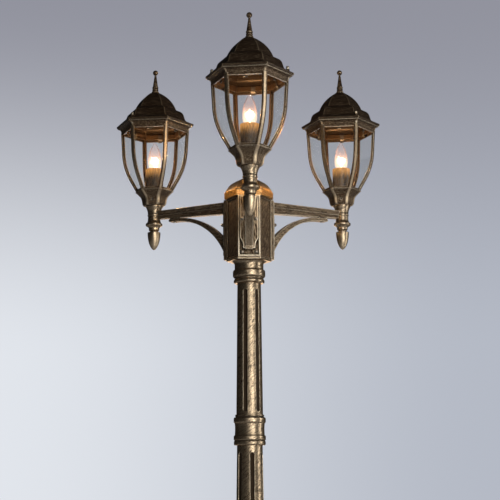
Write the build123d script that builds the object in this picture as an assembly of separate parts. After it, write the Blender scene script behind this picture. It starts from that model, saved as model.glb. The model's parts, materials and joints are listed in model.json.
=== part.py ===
from build123d import *

import math
import os

# Park light: a fluted post, a hexagonal hub and three arms, each with a six-sided lantern.
# Millimetres, +Z up. The origin is on the post's axis at the underside of the base.
# The front arm points along -Y.

# Clearances
FIT_CLEARANCE = 0.3
RUNNING_CLEARANCE = 0.08
SCREW_CLEARANCE = 0.25
THREAD_CLEARANCE = 0.1

# Small steps between the members of turned and six-sided mouldings
MOULDING_STEP = 1.0

# Post stack, from the ground up
BASE_HEIGHT = 460.0
SHAFT_SHOWN = 327.0
COLLAR_HEIGHT = 75.0
HEAD_HEIGHT = 60.0
HUB_HEIGHT = 157.0
SOCKET_DEPTH = 12.0
WEB_BORE_RADIUS = 20.0

# Base casting
FLANGE_RADIUS = 140.0
FLANGE_THICKNESS = 14.0
FLANGE_ROUND = 4.0
ANCHOR_CIRCLE_DIAMETER = 236.0
ANCHOR_COUNT = 4
ANCHOR_HOLE_RADIUS = 5.5
PLINTH_RADIUS = 98.0
PLINTH_HEIGHT = 34.0
PLINTH_ROUND = 4.0
PLINTH_SWEEP = 40.0
PLINTH_SWEEP_RISE = 14.0
PLINTH_BEAD_RADIUS = 82.0
PLINTH_BEAD_LEVEL = 90.0
PLINTH_BEAD_HEIGHT = 18.0
PLINTH_BEAD_ROUND = 7.0
PEDESTAL_FOOT_RADIUS = 72.0
PEDESTAL_HEAD_RADIUS = 57.0
PEDESTAL_HEAD_LEVEL = 330.0
BASE_RING_RADIUS = 64.0
BASE_RING_HEIGHT = 18.0
BASE_RING_ROUND = 6.0
BASE_SHOULDER = 4.0
BASE_SHOULDER_ROUND = 30.0
BASE_NECK_RADIUS = 45.5
BASE_NECK_DROP = 30.0
BASE_NECK_SWEEP = 60.0
BASE_LIP_RADIUS = 49.5
BASE_LIP_HEIGHT = 14.0
BASE_LIP_ROUND = 3.0
BASE_WALL = 7.0
BASE_WEB = 10.0

# Fluted shafts
UPPER_TOP_RADIUS = 29.5
UPPER_FOOT_RADIUS = 32.9
MIDDLE_TOP_RADIUS = 31.5
MIDDLE_FOOT_RADIUS = 36.0
LOWER_TOP_RADIUS = 35.0
LOWER_FOOT_RADIUS = 39.5
SHAFT_WALL = 7.5
FLUTE_COUNT = 6
FLUTE_WIDTH = 12.0
FLUTE_DEPTH = 4.0
FLUTE_TOP_MARGIN = 16.5
FLUTE_FOOT_MARGIN = 6.0
UPPER_FLUTE_TURN = 10.0
MIDDLE_FLUTE_TURN = 40.0
LOWER_FLUTE_TURN = 10.0

# Collars, counted out from the foot of the shaft above
COLLAR_LIP = 2.9
COLLAR_LIP_HEIGHT = 4.5
COLLAR_LIP_ROUND = 1.2
COLLAR_GROOVE = 1.8
COLLAR_BEAD = 6.7
COLLAR_BEAD_HEIGHT = 12.5
COLLAR_BEAD_ROUND = 4.5
COLLAR_WAIST = 3.0
COLLAR_WAIST_SWEEP = 140.0
COLLAR_LOW_BEAD_LEVEL = 13.0
COLLAR_LOW_BEAD_HEIGHT = 11.0
COLLAR_LOW_GROOVE = 4.6
COLLAR_FOOT_BEAD = 6.3
COLLAR_FOOT_BEAD_ROUND = 3.5

# Post head
HEAD_RADIUS = 36.3
HEAD_BEAD_RADIUS = 40.8
HEAD_BEAD_LEVEL = 15.5
HEAD_BEAD_HEIGHT = 18.0
HEAD_BEAD_ROUND = 8.0
HEAD_LIP_RADIUS = 38.8
HEAD_LIP_HEIGHT = 6.5
HEAD_LIP_ROUND = 1.5
HEAD_LIP_SWEEP = 6.0
HEAD_LIP_RISE = 4.5
HEAD_COVE_RADIUS = 44.0
HEAD_COVE_SWEEP = 9.0
HEAD_PLATE = 4.0

# Hub
HUB_APOTHEM = 49.0
HUB_WALL = 4.0
HUB_FLOOR = 5.0
PANEL_BORDER = 5.0
PANEL_RECESS = 1.5
CABLE_HOLE_RADIUS = 4.0
CABLE_HOLE_OFFSET = 15.0

# Hub cap
CAP_APOTHEM = 53.8
CAP_BAND = 17.0
CAP_HEIGHT = 53.5
CAP_TOP_APOTHEM = 12.0
CAP_CROWN_APOTHEM = 21.0
CAP_CROWN_DROP = 2.0
CAP_CROWN_SWEEP = 45.0
CAP_BROW_APOTHEM = 41.5
CAP_BROW_DROP = 16.0
CAP_BROW_SWEEP = 34.0
CAP_FOOT_INSET = 2.0
CAP_FOOT_SWEEP = 40.0
CAP_WALL = 3.0
CAP_SKIRT_DEPTH = 8.0
CAP_SKIRT_WALL = 3.0
CAP_NUT_RADIUS = 11.0
CAP_NUT_HEIGHT = 17.0
CAP_NUT_FLANGE = 3.0
CAP_NUT_DOME_RADIUS = 7.7
CAP_NUT_DOME_ROUND = 6.0

# Tie rod and terminal block
ROD_RADIUS = 6.0
ROD_HOLE_RADIUS = 6.3
ROD_PROUD = 10.0
NUT_APOTHEM = 9.5
NUT_HEIGHT = 10.0
TERMINAL_RADIUS = 27.0
TERMINAL_BORE_RADIUS = 13.0
TERMINAL_HEIGHT = 24.0
TERMINAL_ROUND = 2.0

# Arms
ARM_ANGLES = {"front": -90.0, "right": 30.0, "left": 150.0}
ARM_REACH = 288.0
ARM_DROP = 2.0
ARM_ROOT_DEPTH = 30.0
ARM_TIP_DEPTH = 21.0
ARM_RAIL_WIDTH = 22.0
ARM_RAIL_DEPTH = 11.0
ARM_RAIL_EDGE = 2.5
ARM_BEAD_WIDTH = 17.0
ARM_BEAD_HEIGHT = 2.4
ARM_BEAD_ROUND = 0.6
ARM_FOOT_ROUND = 1.5
ARM_WEB_WIDTH = 14.0
LEAD_DROP = 12.0
LEAD_RADIUS = 3.0
LEAD_BORE_RADIUS = 4.2
LEAD_START = 20.0
LEAD_HUB_BEND = 14.0
LEAD_NECK_BEND = 9.0

# Arm plates
PLATE_WIDTH = 55.0
PLATE_MARGIN = 1.0
PLATE_THICKNESS = 9.0
PLATE_RIM = 3.5
PLATE_RECESS = 4.0
SHIELD_GAP = 1.5
SHIELD_PROUD = 4.6
SHIELD_ROUND = 2.0
SHIELD_SHOULDER = 46.0
SHIELD_SHOULDER_DROP = 13.0
SHIELD_SHOULDER_SWEEP = 24.0
SHIELD_TOE = 20.0
SHIELD_TOE_WIDTH = 30.0
SCREW_RADIUS = 2.5
SCREW_HEAD_RADIUS = 4.4
SCREW_HEAD_HEIGHT = 8.5
SCREW_HEAD_ROUND = 3.4
SHIELD_SCREW_LEVEL = 94.0
SHIELD_SCREW_SPREAD = 17.0
FOOT_SCREW_LEVEL = 11.5
FOOT_SCREW_SPREAD = 17.5

# Braces
BRACE_WIDTH = 19.0
BRACE_ROOT_DROP = 104.1
BRACE_FOOT_DROP = 139.0
BRACE_FOOT_HEIGHT = 10.0
BRACE_FOOT_DEPTH = 7.5
BRACE_FOOT_ROUND = 2.0
BRACE_UPPER_BEND = 54.1
BRACE_UPPER_SWEEP = 177.0
BRACE_LOWER_BEND = 51.8
BRACE_LOWER_SWEEP = 163.0
TONGUE_DROP = 26.6
TONGUE_THICKNESS = 7.0
TONGUE_START = 208.0
TONGUE_END = 236.0
TONGUE_MARGIN = 2.0
TONGUE_PAD_WIDTH = 13.0
TONGUE_ROUND = 4.0
TONGUE_SCREW_REACH = 222.0
TONGUE_SCREW_GRIP = 7.0
TONGUE_SCREW_HEAD = 2.0

# Necks and pendants
NECK_RISE = 16.0
NECK_FLANGE_RADIUS = 22.3
NECK_FLANGE = 3.5
NECK_WAIST_RADIUS = 17.2
NECK_WAIST_DROP = 20.5
NECK_WAIST_SWEEP = 26.0
NECK_SWEEP_DROP = 14.5
NECK_GROOVE_RADIUS = 16.0
NECK_BAND_RADIUS = 17.6
NECK_BAND_HEIGHT = 5.0
NECK_BAND_ROUND = 1.5
NECK_FLARE_SWEEP = 20.0
NECK_RING_RADIUS = 22.2
NECK_RING_DROP = 48.0
NECK_RING_HEIGHT = 5.0
NECK_RING_ROUND = 1.7
NECK_TAIL_RADIUS = 14.0
NECK_TAIL_SWEEP = 3.0
NECK_TAIL_DROP = 6.0
NECK_END_RADIUS = 10.4
NECK_END_DROP = 5.5
NECK_LENGTH = 70.5
NECK_CAVITY_RADIUS = 11.0
NECK_CAVITY_DROP = 37.0
SPIGOT_RADIUS = 19.0
SPIGOT_HEIGHT = 25.0
SPIGOT_ROUND = 1.5
PENDANT_RADIUS = 16.9
PENDANT_LENGTH = 48.0
PENDANT_BROW_DROP = 6.0
PENDANT_BELLY_RADIUS = 13.86
PENDANT_BELLY_DROP = 27.84
PENDANT_BELLY_SWEEP = 40.0
PENDANT_TOE_RADIUS = 7.1
PENDANT_TOE_DROP = 42.24
PENDANT_TOE_SWEEP = 16.0
PENDANT_STUD_RADIUS = 4.0
PENDANT_STUD_LENGTH = 14.0

# Lanterns, as they stand on their necks
LANTERN_TURN = -7.6
CUP_HEIGHT = 40.0
CUP_FOOT_APOTHEM = 27.6
CUP_LIP_APOTHEM = 44.5
CUP_LIP_THICKNESS = 3.0
CUP_LIP_INSET = 1.8
CUP_SWEEP_INSET = 2.6
CUP_SWEEP_LEVEL = 22.5
CUP_SWEEP = 24.0
CUP_BEVEL = 2.8
CUP_BEVEL_HEIGHT = 5.0
CUP_FLOOR = 6.0
SET_SCREW_LEVEL = 14.0
SET_SCREW_RADIUS = 2.5
SET_SCREW_RECESS = 1.2
SET_SCREW_FACES = (120.0, 240.0)

CAGE_HEIGHT = 176.0
CAGE_TOP_APOTHEM = 79.5
CAGE_BEND_APOTHEM = 74.6
CAGE_BEND_LEVEL = 64.3
CAGE_BEND_RADIUS = 196.0
CAGE_FOOT_APOTHEM = 43.0
FOOT_RING_APOTHEM = 36.0
FOOT_RING_HEIGHT = 5.0
RIB_WIDTH = 12.0
RIB_FLANGE = 4.0
RIB_DEPTH = 8.5
RIB_WEB = 4.0
RIB_ROUND = 3.2
CORNICE_APOTHEM = 88.5
CORNICE_DEPTH = 19.0
CORNICE_EDGE = 2.0
CORNICE_SPLAY = 2.5
CORNICE_SWEEP = 7.0
CORNICE_COVE = 13.0
RIM_APOTHEM = 70.0
RIM_REBATE = 6.0
PANE_THICKNESS = 3.0
CLIP_WIDTH = 10.0
CLIP_THICKNESS = 1.4
CLIP_REACH = 10.0
CLIP_CRANK = 4.0
CLIP_HEAD_ROOM = 4.0
CLIP_SCREW_RADIUS = 1.5
CLIP_SCREW_LENGTH = 7.0
CLIP_HEAD_RADIUS = 3.0
CLIP_HEAD_HEIGHT = 1.6

# Lampholder, sleeve and bulb
HOLDER_RADIUS = 20.5
HOLDER_FLANGE_RADIUS = 25.0
HOLDER_FLANGE = 6.0
HOLDER_HEIGHT = 56.0
SLEEVE_RADIUS = 23.4
SLEEVE_WALL = 1.2
SLEEVE_TOP = 59.7
SOCKET_LEVEL = 30.0
HOLDER_SCREW_RADIUS = 5.0
HOLDER_SCREW_BORE = 3.5
HOLDER_SCREW_GRIP = 11.0
HOLDER_SCREW_HEAD = 5.0
HOLDER_SCREW_APOTHEM = 8.0
BULB_CAP_RADIUS = 13.2
BULB_CAP_LENGTH = 27.0
BULB_CAP_TAPER = 5.0
BULB_INSULATOR_RADIUS = 7.0
BULB_CONTACT_RADIUS = 4.0
BULB_CONTACT_HEIGHT = 1.5
BULB_RADIUS = 17.5
BULB_NECK_RADIUS = 12.8
BULB_NECK_HEIGHT = 2.0
BULB_NECK_SWEEP = 10.0
BULB_LENGTH = 75.4
BULB_TIP_RADIUS = 3.4
BULB_SHOULDER_RADIUS = 12.95
BULB_SHOULDER_LEVEL = 55.8
BULB_SHOULDER_SWEEP = 60.0
BULB_BELLY_TOP = 34.7
BULB_BELLY_SWEEP = 50.0
BULB_BELLY_FOOT = 16.6
BULB_FOOT_SWEEP = 30.0
BULB_GLASS = 1.0

# Roofs, heights counted from the cage's top
ROOF_HEIGHT = 96.0
ROOF_TOP_APOTHEM = 10.5
DOME_BROW_APOTHEM = 35.7
DOME_BROW_LEVEL = 81.3
DOME_SWEEP = 86.0
DOME_APOTHEM = 47.3
DOME_FOOT = 53.0
STEP_APOTHEM = 49.5
STEP_LEVEL = 46.5
STEP_SWEEP = 5.0
LEDGE_APOTHEM = 57.0
LEDGE_LEVEL = 43.0
SKIRT_BROW_APOTHEM = 65.2
SKIRT_BROW_LEVEL = 39.2
SKIRT_BROW_SWEEP = 18.0
SKIRT_APOTHEM = 69.3
SKIRT_FOOT = 24.0
FLARE_APOTHEM = 71.6
FLARE_LEVEL = 15.2
FLARE_SWEEP = 13.0
BRIM_APOTHEM = 91.0
BRIM_LEVEL = 5.6
BRIM_ROUND = 1.5
BRIM_BEVEL = 2.2
ROOF_WALL = 3.0
ROOF_HOLLOW_APOTHEM = 72.0
KNOB_OFFSET = 90.0
KNOB_RADIUS = 3.7
KNOB_HEIGHT = 7.5
KNOB_CROWN = 2.5
KNOB_CROWN_RADIUS = 2.8
KNOB_COLLAR = 1.5
KNOB_COLLAR_RADIUS = 2.9
KNOB_BOSS_RADIUS = 4.6
KNOB_BOSS_LEVEL = 15.0
KNOB_CORNERS = (90.0, 270.0)
STUD_RADIUS = 2.0
STUD_DEPTH = 8.0
STUD_PROUD = 4.5

# Finials
FINIAL_BALL_RADIUS = 7.0
FINIAL_BALL_LEVEL = 57.4
FINIAL_BASE_RADIUS = 9.6
FINIAL_BASE_HEIGHT = 4.0
FINIAL_RING_RADIUS = 8.2
FINIAL_RING_HEIGHT = 3.2
FINIAL_LOW_RING_LEVEL = 7.4
FINIAL_HIGH_RING_LEVEL = 13.4
FINIAL_SPIRE_RADIUS = 7.0
FINIAL_TIP_RADIUS = 2.6
FINIAL_TIP_SWEEP = 8.0
FINIAL_STUD_RADIUS = 3.0
FINIAL_STUD_LENGTH = 9.0

# Shares of a side that its rounded corners may use: all but a little, or half beside another rounded corner
LONE_SHARE = 0.98
PAIR_SHARE = 0.49
HEX_STEP = 60.0
HIP_COSINE = math.cos(math.radians(HEX_STEP / 2))
CUT_OVER = 1.0

# Levels worked out from the stack
LOWER_COLLAR_FOOT = BASE_HEIGHT + SHAFT_SHOWN
MIDDLE_SHAFT_FOOT = LOWER_COLLAR_FOOT + COLLAR_HEIGHT
MIDDLE_COLLAR_FOOT = MIDDLE_SHAFT_FOOT + SHAFT_SHOWN
UPPER_SHAFT_FOOT = MIDDLE_COLLAR_FOOT + COLLAR_HEIGHT
HEAD_LEVEL = UPPER_SHAFT_FOOT + SHAFT_SHOWN
HUB_LEVEL = HEAD_LEVEL + HEAD_HEIGHT
HUB_TOP = HUB_LEVEL + HUB_HEIGHT
ARM_TOP = HUB_TOP - ARM_DROP
LEAD_LEVEL = ARM_TOP - LEAD_DROP
SEAT_LEVEL = ARM_TOP + NECK_RISE

# Levels above a lantern's seat
CAGE_FOOT = CUP_HEIGHT
CAGE_TOP = CAGE_FOOT + CAGE_HEIGHT
CAGE_BEND = CAGE_FOOT + CAGE_BEND_LEVEL
CORNICE_FOOT = CAGE_TOP - CORNICE_DEPTH
REBATE_TOP = CORNICE_FOOT + RIM_REBATE
HOLDER_LEVEL = CUP_HEIGHT
BULB_CAP_FOOT = HOLDER_LEVEL + SOCKET_LEVEL
BULB_GLASS_FOOT = BULB_CAP_FOOT + BULB_CAP_LENGTH

# How far the panes stand back from the cage's faces, to clear the backs of the ribs' flanges,
# where these lean most
RIB_LEAN = math.atan((CAGE_BEND_APOTHEM - CAGE_FOOT_APOTHEM) / HIP_COSINE / CAGE_BEND_LEVEL)
PANE_EDGE = RIB_WEB / 2 + FIT_CLEARANCE
FLANGE_BACK = RIB_FLANGE / math.cos(RIB_LEAN) + FIT_CLEARANCE
PANE_SETBACK = FLANGE_BACK * HIP_COSINE - PANE_EDGE * math.sin(math.radians(HEX_STEP / 2))

SHIELD_FACE = HUB_APOTHEM + PLATE_THICKNESS + SHIELD_PROUD
RECESS_FACE = HUB_APOTHEM + PLATE_THICKNESS - PLATE_RECESS


def outline(corners, closed=False, plane=Plane.XZ):
    """Lines through (x, y) corners on a plane.

    A corner's third value rounds it, as far as its sides leave room.
    """
    points = [plane.from_local_coords(Vector(corner[0], corner[1], 0)) for corner in corners]
    asked = [corner[2] if len(corner) > 2 else 0.0 for corner in corners]
    count = len(points)
    arrivals = list(points)
    departures = list(points)
    edges = []
    for i, point in enumerate(points):
        if not asked[i]:
            continue
        following = (i + 1) % count
        back = points[i - 1] - point
        ahead = points[following] - point
        half_turn = math.radians(180 - back.get_angle(ahead)) / 2
        room = min(
            back.length * (PAIR_SHARE if asked[i - 1] else LONE_SHARE),
            ahead.length * (PAIR_SHARE if asked[following] else LONE_SHARE),
        )
        reach = min(asked[i] * math.tan(half_turn), room)
        radius = reach / math.tan(half_turn)
        inward = (back.normalized() + ahead.normalized()).normalized()
        arrivals[i] = point + back.normalized() * reach
        departures[i] = point + ahead.normalized() * reach
        middle = point + inward * (radius / math.cos(half_turn) - radius)
        edges.append(Edge.make_three_point_arc(arrivals[i], middle, departures[i]))
    last = count if closed else count - 1
    for i in range(last):
        edges.append(Edge.make_line(departures[i], arrivals[(i + 1) % count]))
    return edges


def turned(*corners):
    """A solid of revolution from a half section that starts and ends on the axis."""
    axis = Edge.make_line((0, 0, corners[-1][1]), (0, 0, corners[0][1]))
    section = Face(Wire.combine(outline(corners) + [axis])[0])
    return revolve(section, Axis.Z)


def hexed(*corners):
    """A six-sided solid from a half section across its flats, from axis to axis. A flat faces +X."""
    mirrored = [(-corner[0], *corner[1:]) for corner in reversed(corners)]
    section = Face(Wire.combine(outline(corners) + outline(mirrored))[0])
    reach = 2 * max(corner[0] for corner in corners)
    bar = extrude(section, amount=reach, both=True)
    return bar & Rot(0, 0, HEX_STEP) * bar & Rot(0, 0, 2 * HEX_STEP) * bar


def strip(corners, width):
    """A closed outline on the XZ plane, given a width across it."""
    section = Face(Wire.combine(outline(corners, closed=True))[0])
    return extrude(section, amount=width / 2, both=True)


def rod(radius, bottom, top):
    """An upright cylinder between two levels."""
    return Pos(0, 0, bottom) * Cylinder(radius, top - bottom, align=(Align.CENTER, Align.CENTER, Align.MIN))


def bar_along_x(radius, start, end):
    """A cylinder along X between two reaches."""
    return Rot(0, 90, 0) * rod(radius, start, end)


def inset(corners, wall):
    """The corners of a half section moved in and down by a wall."""
    return [(max(corner[0] - wall, 0.0), corner[1] - wall, *corner[2:]) for corner in corners]


def around(piece, angles):
    """Copies of a piece turned about the upright axis."""
    return [Rot(0, 0, angle) * piece for angle in angles]


def hex_faces():
    """The directions that a six-sided piece's faces look in."""
    return [HEX_STEP * i for i in range(6)]


def hex_corners():
    """The directions of a six-sided piece's corners."""
    return [HEX_STEP * i + HEX_STEP / 2 for i in range(6)]


def cone_radius(top_radius, foot_radius, below_top):
    """A shaft's radius at a distance below the top of its shown length."""
    return top_radius + (foot_radius - top_radius) * below_top / SHAFT_SHOWN


def socket_radius(widest):
    """The bore that takes a shaft's end, from the end's radius where it is widest."""
    return widest + FIT_CLEARANCE


def base():
    """Hollow foot casting with a bolted flange, a pedestal and a socket for the lower shaft."""
    step = 2 * MOULDING_STEP
    lip_foot = BASE_HEIGHT - BASE_LIP_HEIGHT
    ring_top = PEDESTAL_HEAD_LEVEL + BASE_RING_HEIGHT
    shoulder = PEDESTAL_HEAD_RADIUS + MOULDING_STEP
    bead_top = PLINTH_BEAD_LEVEL + PLINTH_BEAD_HEIGHT
    sweep_level = PLINTH_HEIGHT + PLINTH_SWEEP_RISE
    shell = turned(
        (0, BASE_HEIGHT),
        (BASE_LIP_RADIUS, BASE_HEIGHT, BASE_LIP_ROUND),
        (BASE_LIP_RADIUS, lip_foot, BASE_LIP_ROUND),
        (BASE_NECK_RADIUS, lip_foot - step),
        (BASE_NECK_RADIUS, lip_foot - BASE_NECK_DROP, BASE_NECK_SWEEP),
        (shoulder, ring_top + BASE_SHOULDER, BASE_SHOULDER_ROUND),
        (shoulder, ring_top),
        (BASE_RING_RADIUS, ring_top - step, BASE_RING_ROUND),
        (BASE_RING_RADIUS, PEDESTAL_HEAD_LEVEL + step, BASE_RING_ROUND),
        (PEDESTAL_HEAD_RADIUS, PEDESTAL_HEAD_LEVEL),
        (PEDESTAL_FOOT_RADIUS, bead_top + step),
        (PLINTH_BEAD_RADIUS, bead_top, PLINTH_BEAD_ROUND),
        (PLINTH_BEAD_RADIUS, PLINTH_BEAD_LEVEL, PLINTH_BEAD_ROUND),
        (PEDESTAL_FOOT_RADIUS + step, PLINTH_BEAD_LEVEL - step),
        (PEDESTAL_FOOT_RADIUS + step, sweep_level, PLINTH_SWEEP),
        (PLINTH_RADIUS - step, PLINTH_HEIGHT + step),
        (PLINTH_RADIUS, PLINTH_HEIGHT, PLINTH_ROUND),
        (PLINTH_RADIUS, FLANGE_THICKNESS),
        (FLANGE_RADIUS, FLANGE_THICKNESS, FLANGE_ROUND),
        (FLANGE_RADIUS, 0),
        (0, 0),
    )
    web_foot = BASE_HEIGHT - SOCKET_DEPTH - BASE_WEB
    hollow = turned(
        (0, web_foot),
        (LOWER_FOOT_RADIUS - BASE_WALL, web_foot),
        (LOWER_FOOT_RADIUS - BASE_WALL, lip_foot - BASE_NECK_DROP),
        (PEDESTAL_HEAD_RADIUS - BASE_WALL, PEDESTAL_HEAD_LEVEL),
        (PEDESTAL_FOOT_RADIUS - BASE_WALL, PLINTH_BEAD_LEVEL),
        (PEDESTAL_FOOT_RADIUS - BASE_WALL, sweep_level),
        (PLINTH_RADIUS - BASE_WALL, PLINTH_HEIGHT - BASE_WALL),
        (PLINTH_RADIUS - BASE_WALL, -CUT_OVER),
        (0, -CUT_OVER),
    )
    shell -= hollow
    shell -= rod(socket_radius(LOWER_FOOT_RADIUS), BASE_HEIGHT - SOCKET_DEPTH, BASE_HEIGHT + CUT_OVER)
    shell -= rod(ROD_HOLE_RADIUS, web_foot - CUT_OVER, BASE_HEIGHT)
    shell -= Pos(0, CABLE_HOLE_OFFSET, 0) * rod(CABLE_HOLE_RADIUS, web_foot - CUT_OVER, BASE_HEIGHT)
    hole = rod(ANCHOR_HOLE_RADIUS, -CUT_OVER, FLANGE_THICKNESS + CUT_OVER)
    hole = Pos(ANCHOR_CIRCLE_DIAMETER / 2, 0, 0) * hole
    pitch = 360 / ANCHOR_COUNT
    for cutter in around(hole, [pitch * (i + 0.5) for i in range(ANCHOR_COUNT)]):
        shell -= cutter
    return shell


def shaft(top_radius, foot_radius, foot_level, flute_turn):
    """Tapered tube with round-ended flutes, long enough to seat in the sockets above and below."""
    top_level = foot_level + SHAFT_SHOWN
    end_top = cone_radius(top_radius, foot_radius, -SOCKET_DEPTH)
    end_foot = cone_radius(top_radius, foot_radius, SHAFT_SHOWN + SOCKET_DEPTH)
    length = SHAFT_SHOWN + 2 * SOCKET_DEPTH
    seat = foot_level - SOCKET_DEPTH
    tube = Pos(0, 0, seat) * Cone(
        end_foot, end_top, length, align=(Align.CENTER, Align.CENTER, Align.MIN)
    )
    tube -= rod(end_top - SHAFT_WALL, seat - CUT_OVER, seat + length + CUT_OVER)
    cutter_radius = ((FLUTE_WIDTH / 2) ** 2 + FLUTE_DEPTH**2) / (2 * FLUTE_DEPTH)
    out = cutter_radius - FLUTE_DEPTH
    high = FLUTE_TOP_MARGIN + FLUTE_WIDTH / 2
    low = SHAFT_SHOWN - FLUTE_FOOT_MARGIN - FLUTE_WIDTH / 2
    head = Vector(cone_radius(top_radius, foot_radius, high) + out, 0, top_level - high)
    tail = Vector(cone_radius(top_radius, foot_radius, low) + out, 0, top_level - low)
    end = (head - tail).length + cutter_radius
    channel = Plane(origin=tail, z_dir=head - tail) * turned(
        (0, -cutter_radius),
        (cutter_radius, -cutter_radius, cutter_radius),
        (cutter_radius, end, cutter_radius),
        (0, end),
    )
    pitch = 360 / FLUTE_COUNT
    for cutter in around(channel, [flute_turn + pitch * i for i in range(FLUTE_COUNT)]):
        tube -= cutter
    return tube


def foot_socket(top_radius, foot_radius):
    """The bore for a shaft's lower end."""
    return socket_radius(cone_radius(top_radius, foot_radius, SHAFT_SHOWN + SOCKET_DEPTH))


def collar(shaft_radius, upper_bore, lower_bore, level):
    """Turned ring that covers the joint between two shafts, with a socket at each end."""
    top = COLLAR_HEIGHT
    step = MOULDING_STEP
    lip = shaft_radius + COLLAR_LIP
    groove = shaft_radius + COLLAR_GROOVE
    bead = shaft_radius + COLLAR_BEAD
    waist = shaft_radius + COLLAR_WAIST
    low_groove = shaft_radius + COLLAR_LOW_GROOVE
    foot_bead = shaft_radius + COLLAR_FOOT_BEAD
    lip_foot = top - COLLAR_LIP_HEIGHT
    bead_top = lip_foot - 2.5 * step
    bead_foot = bead_top - COLLAR_BEAD_HEIGHT
    low_bead_top = COLLAR_LOW_BEAD_LEVEL + COLLAR_LOW_BEAD_HEIGHT
    foot_bead_top = COLLAR_LOW_BEAD_LEVEL - 2.6 * step
    ring = turned(
        (0, top),
        (lip, top, COLLAR_LIP_ROUND),
        (lip, lip_foot, COLLAR_LIP_ROUND),
        (groove, lip_foot - step / 2),
        (groove, bead_top + step),
        (bead, bead_top, COLLAR_BEAD_ROUND),
        (bead, bead_foot, COLLAR_BEAD_ROUND),
        (waist + step, bead_foot - 2 * step),
        (waist, top / 2, COLLAR_WAIST_SWEEP),
        (waist + step, low_bead_top + step),
        (bead, low_bead_top, COLLAR_BEAD_ROUND),
        (bead, COLLAR_LOW_BEAD_LEVEL, COLLAR_BEAD_ROUND),
        (low_groove, COLLAR_LOW_BEAD_LEVEL - step),
        (low_groove, foot_bead_top + 0.8 * step),
        (foot_bead, foot_bead_top, COLLAR_FOOT_BEAD_ROUND),
        (foot_bead, step, COLLAR_FOOT_BEAD_ROUND),
        (lip, 0),
        (0, 0),
    )
    ring -= rod(upper_bore, top - SOCKET_DEPTH, top + CUT_OVER)
    ring -= rod(lower_bore, -CUT_OVER, SOCKET_DEPTH)
    ring -= rod(WEB_BORE_RADIUS, 0, top)
    return Pos(0, 0, level) * ring


def post_head():
    """Turned head between the upper shaft and the hub, with a hexagonal plate on top."""
    top = HEAD_HEIGHT
    step = MOULDING_STEP
    plate_foot = top - HEAD_PLATE
    bead_top = HEAD_BEAD_LEVEL + HEAD_BEAD_HEIGHT
    head = turned(
        (0, plate_foot),
        (HEAD_COVE_RADIUS, plate_foot),
        (HEAD_RADIUS, plate_foot - 2 * step, HEAD_COVE_SWEEP),
        (HEAD_RADIUS, bead_top + step),
        (HEAD_BEAD_RADIUS, bead_top, HEAD_BEAD_ROUND),
        (HEAD_BEAD_RADIUS, HEAD_BEAD_LEVEL, HEAD_BEAD_ROUND),
        (HEAD_RADIUS, HEAD_BEAD_LEVEL - 1.5 * step),
        (HEAD_RADIUS, HEAD_LIP_HEIGHT + HEAD_LIP_RISE, HEAD_LIP_SWEEP),
        (HEAD_LIP_RADIUS, HEAD_LIP_HEIGHT, HEAD_LIP_ROUND),
        (HEAD_LIP_RADIUS, 2 * step, HEAD_LIP_ROUND),
        (HEAD_RADIUS - step, 0),
        (0, 0),
    )
    plate = hexed((0, top), (HUB_APOTHEM, top), (HUB_APOTHEM, plate_foot), (0, plate_foot))
    head += Rot(0, 0, HEX_STEP / 2) * plate
    head -= rod(socket_radius(UPPER_TOP_RADIUS), -CUT_OVER, SOCKET_DEPTH)
    head -= rod(WEB_BORE_RADIUS, 0, top + CUT_OVER)
    return Pos(0, 0, HEAD_LEVEL) * head


def arm_screw_places():
    """Each arm plate's screws in the arm's own frame: reach of the head's seat, side offset and level."""
    places = []
    for side in (-1, 1):
        places.append((SHIELD_FACE, side * SHIELD_SCREW_SPREAD, HUB_LEVEL + SHIELD_SCREW_LEVEL))
        places.append((RECESS_FACE, side * FOOT_SCREW_SPREAD, HUB_LEVEL + FOOT_SCREW_LEVEL))
    return places


def arm_screw_holes():
    """Cutters for the screws that hold one arm plate to the hub."""
    inner = HUB_APOTHEM - HUB_WALL - CUT_OVER
    hole = bar_along_x(SCREW_RADIUS + SCREW_CLEARANCE, inner, SHIELD_FACE + CUT_OVER)
    return [Pos(0, side, level) * hole for _, side, level in arm_screw_places()]


def hub_body():
    """Six-sided wiring box with bordered panels between the arms."""
    apothem = HUB_APOTHEM
    box = hexed((0, HUB_HEIGHT), (apothem, HUB_HEIGHT), (apothem, 0), (0, 0))
    inner = apothem - HUB_WALL
    over = HUB_HEIGHT + CUT_OVER
    box -= hexed((0, over), (inner, over), (inner, HUB_FLOOR), (0, HUB_FLOOR))
    side = 2 * apothem * math.tan(math.radians(HEX_STEP / 2))
    recess = Pos(apothem, 0, HUB_HEIGHT / 2) * Box(
        2 * PANEL_RECESS, side - 2 * PANEL_BORDER, HUB_HEIGHT - 2 * PANEL_BORDER
    )
    for cutter in around(recess, [HEX_STEP, 3 * HEX_STEP, 5 * HEX_STEP]):
        box -= cutter
    box = Pos(0, 0, HUB_LEVEL) * Rot(0, 0, HEX_STEP / 2) * box
    box -= rod(ROD_HOLE_RADIUS, HUB_LEVEL - CUT_OVER, HUB_TOP)
    box -= Pos(0, CABLE_HOLE_OFFSET, 0) * rod(CABLE_HOLE_RADIUS, HUB_LEVEL - CUT_OVER, HUB_TOP)
    lead_hole = Pos(0, 0, LEAD_LEVEL) * bar_along_x(LEAD_BORE_RADIUS, inner - CUT_OVER, apothem + CUT_OVER)
    for angle in ARM_ANGLES.values():
        for cutter in [lead_hole, *arm_screw_holes()]:
            box -= Rot(0, 0, angle) * cutter
    return box


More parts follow.
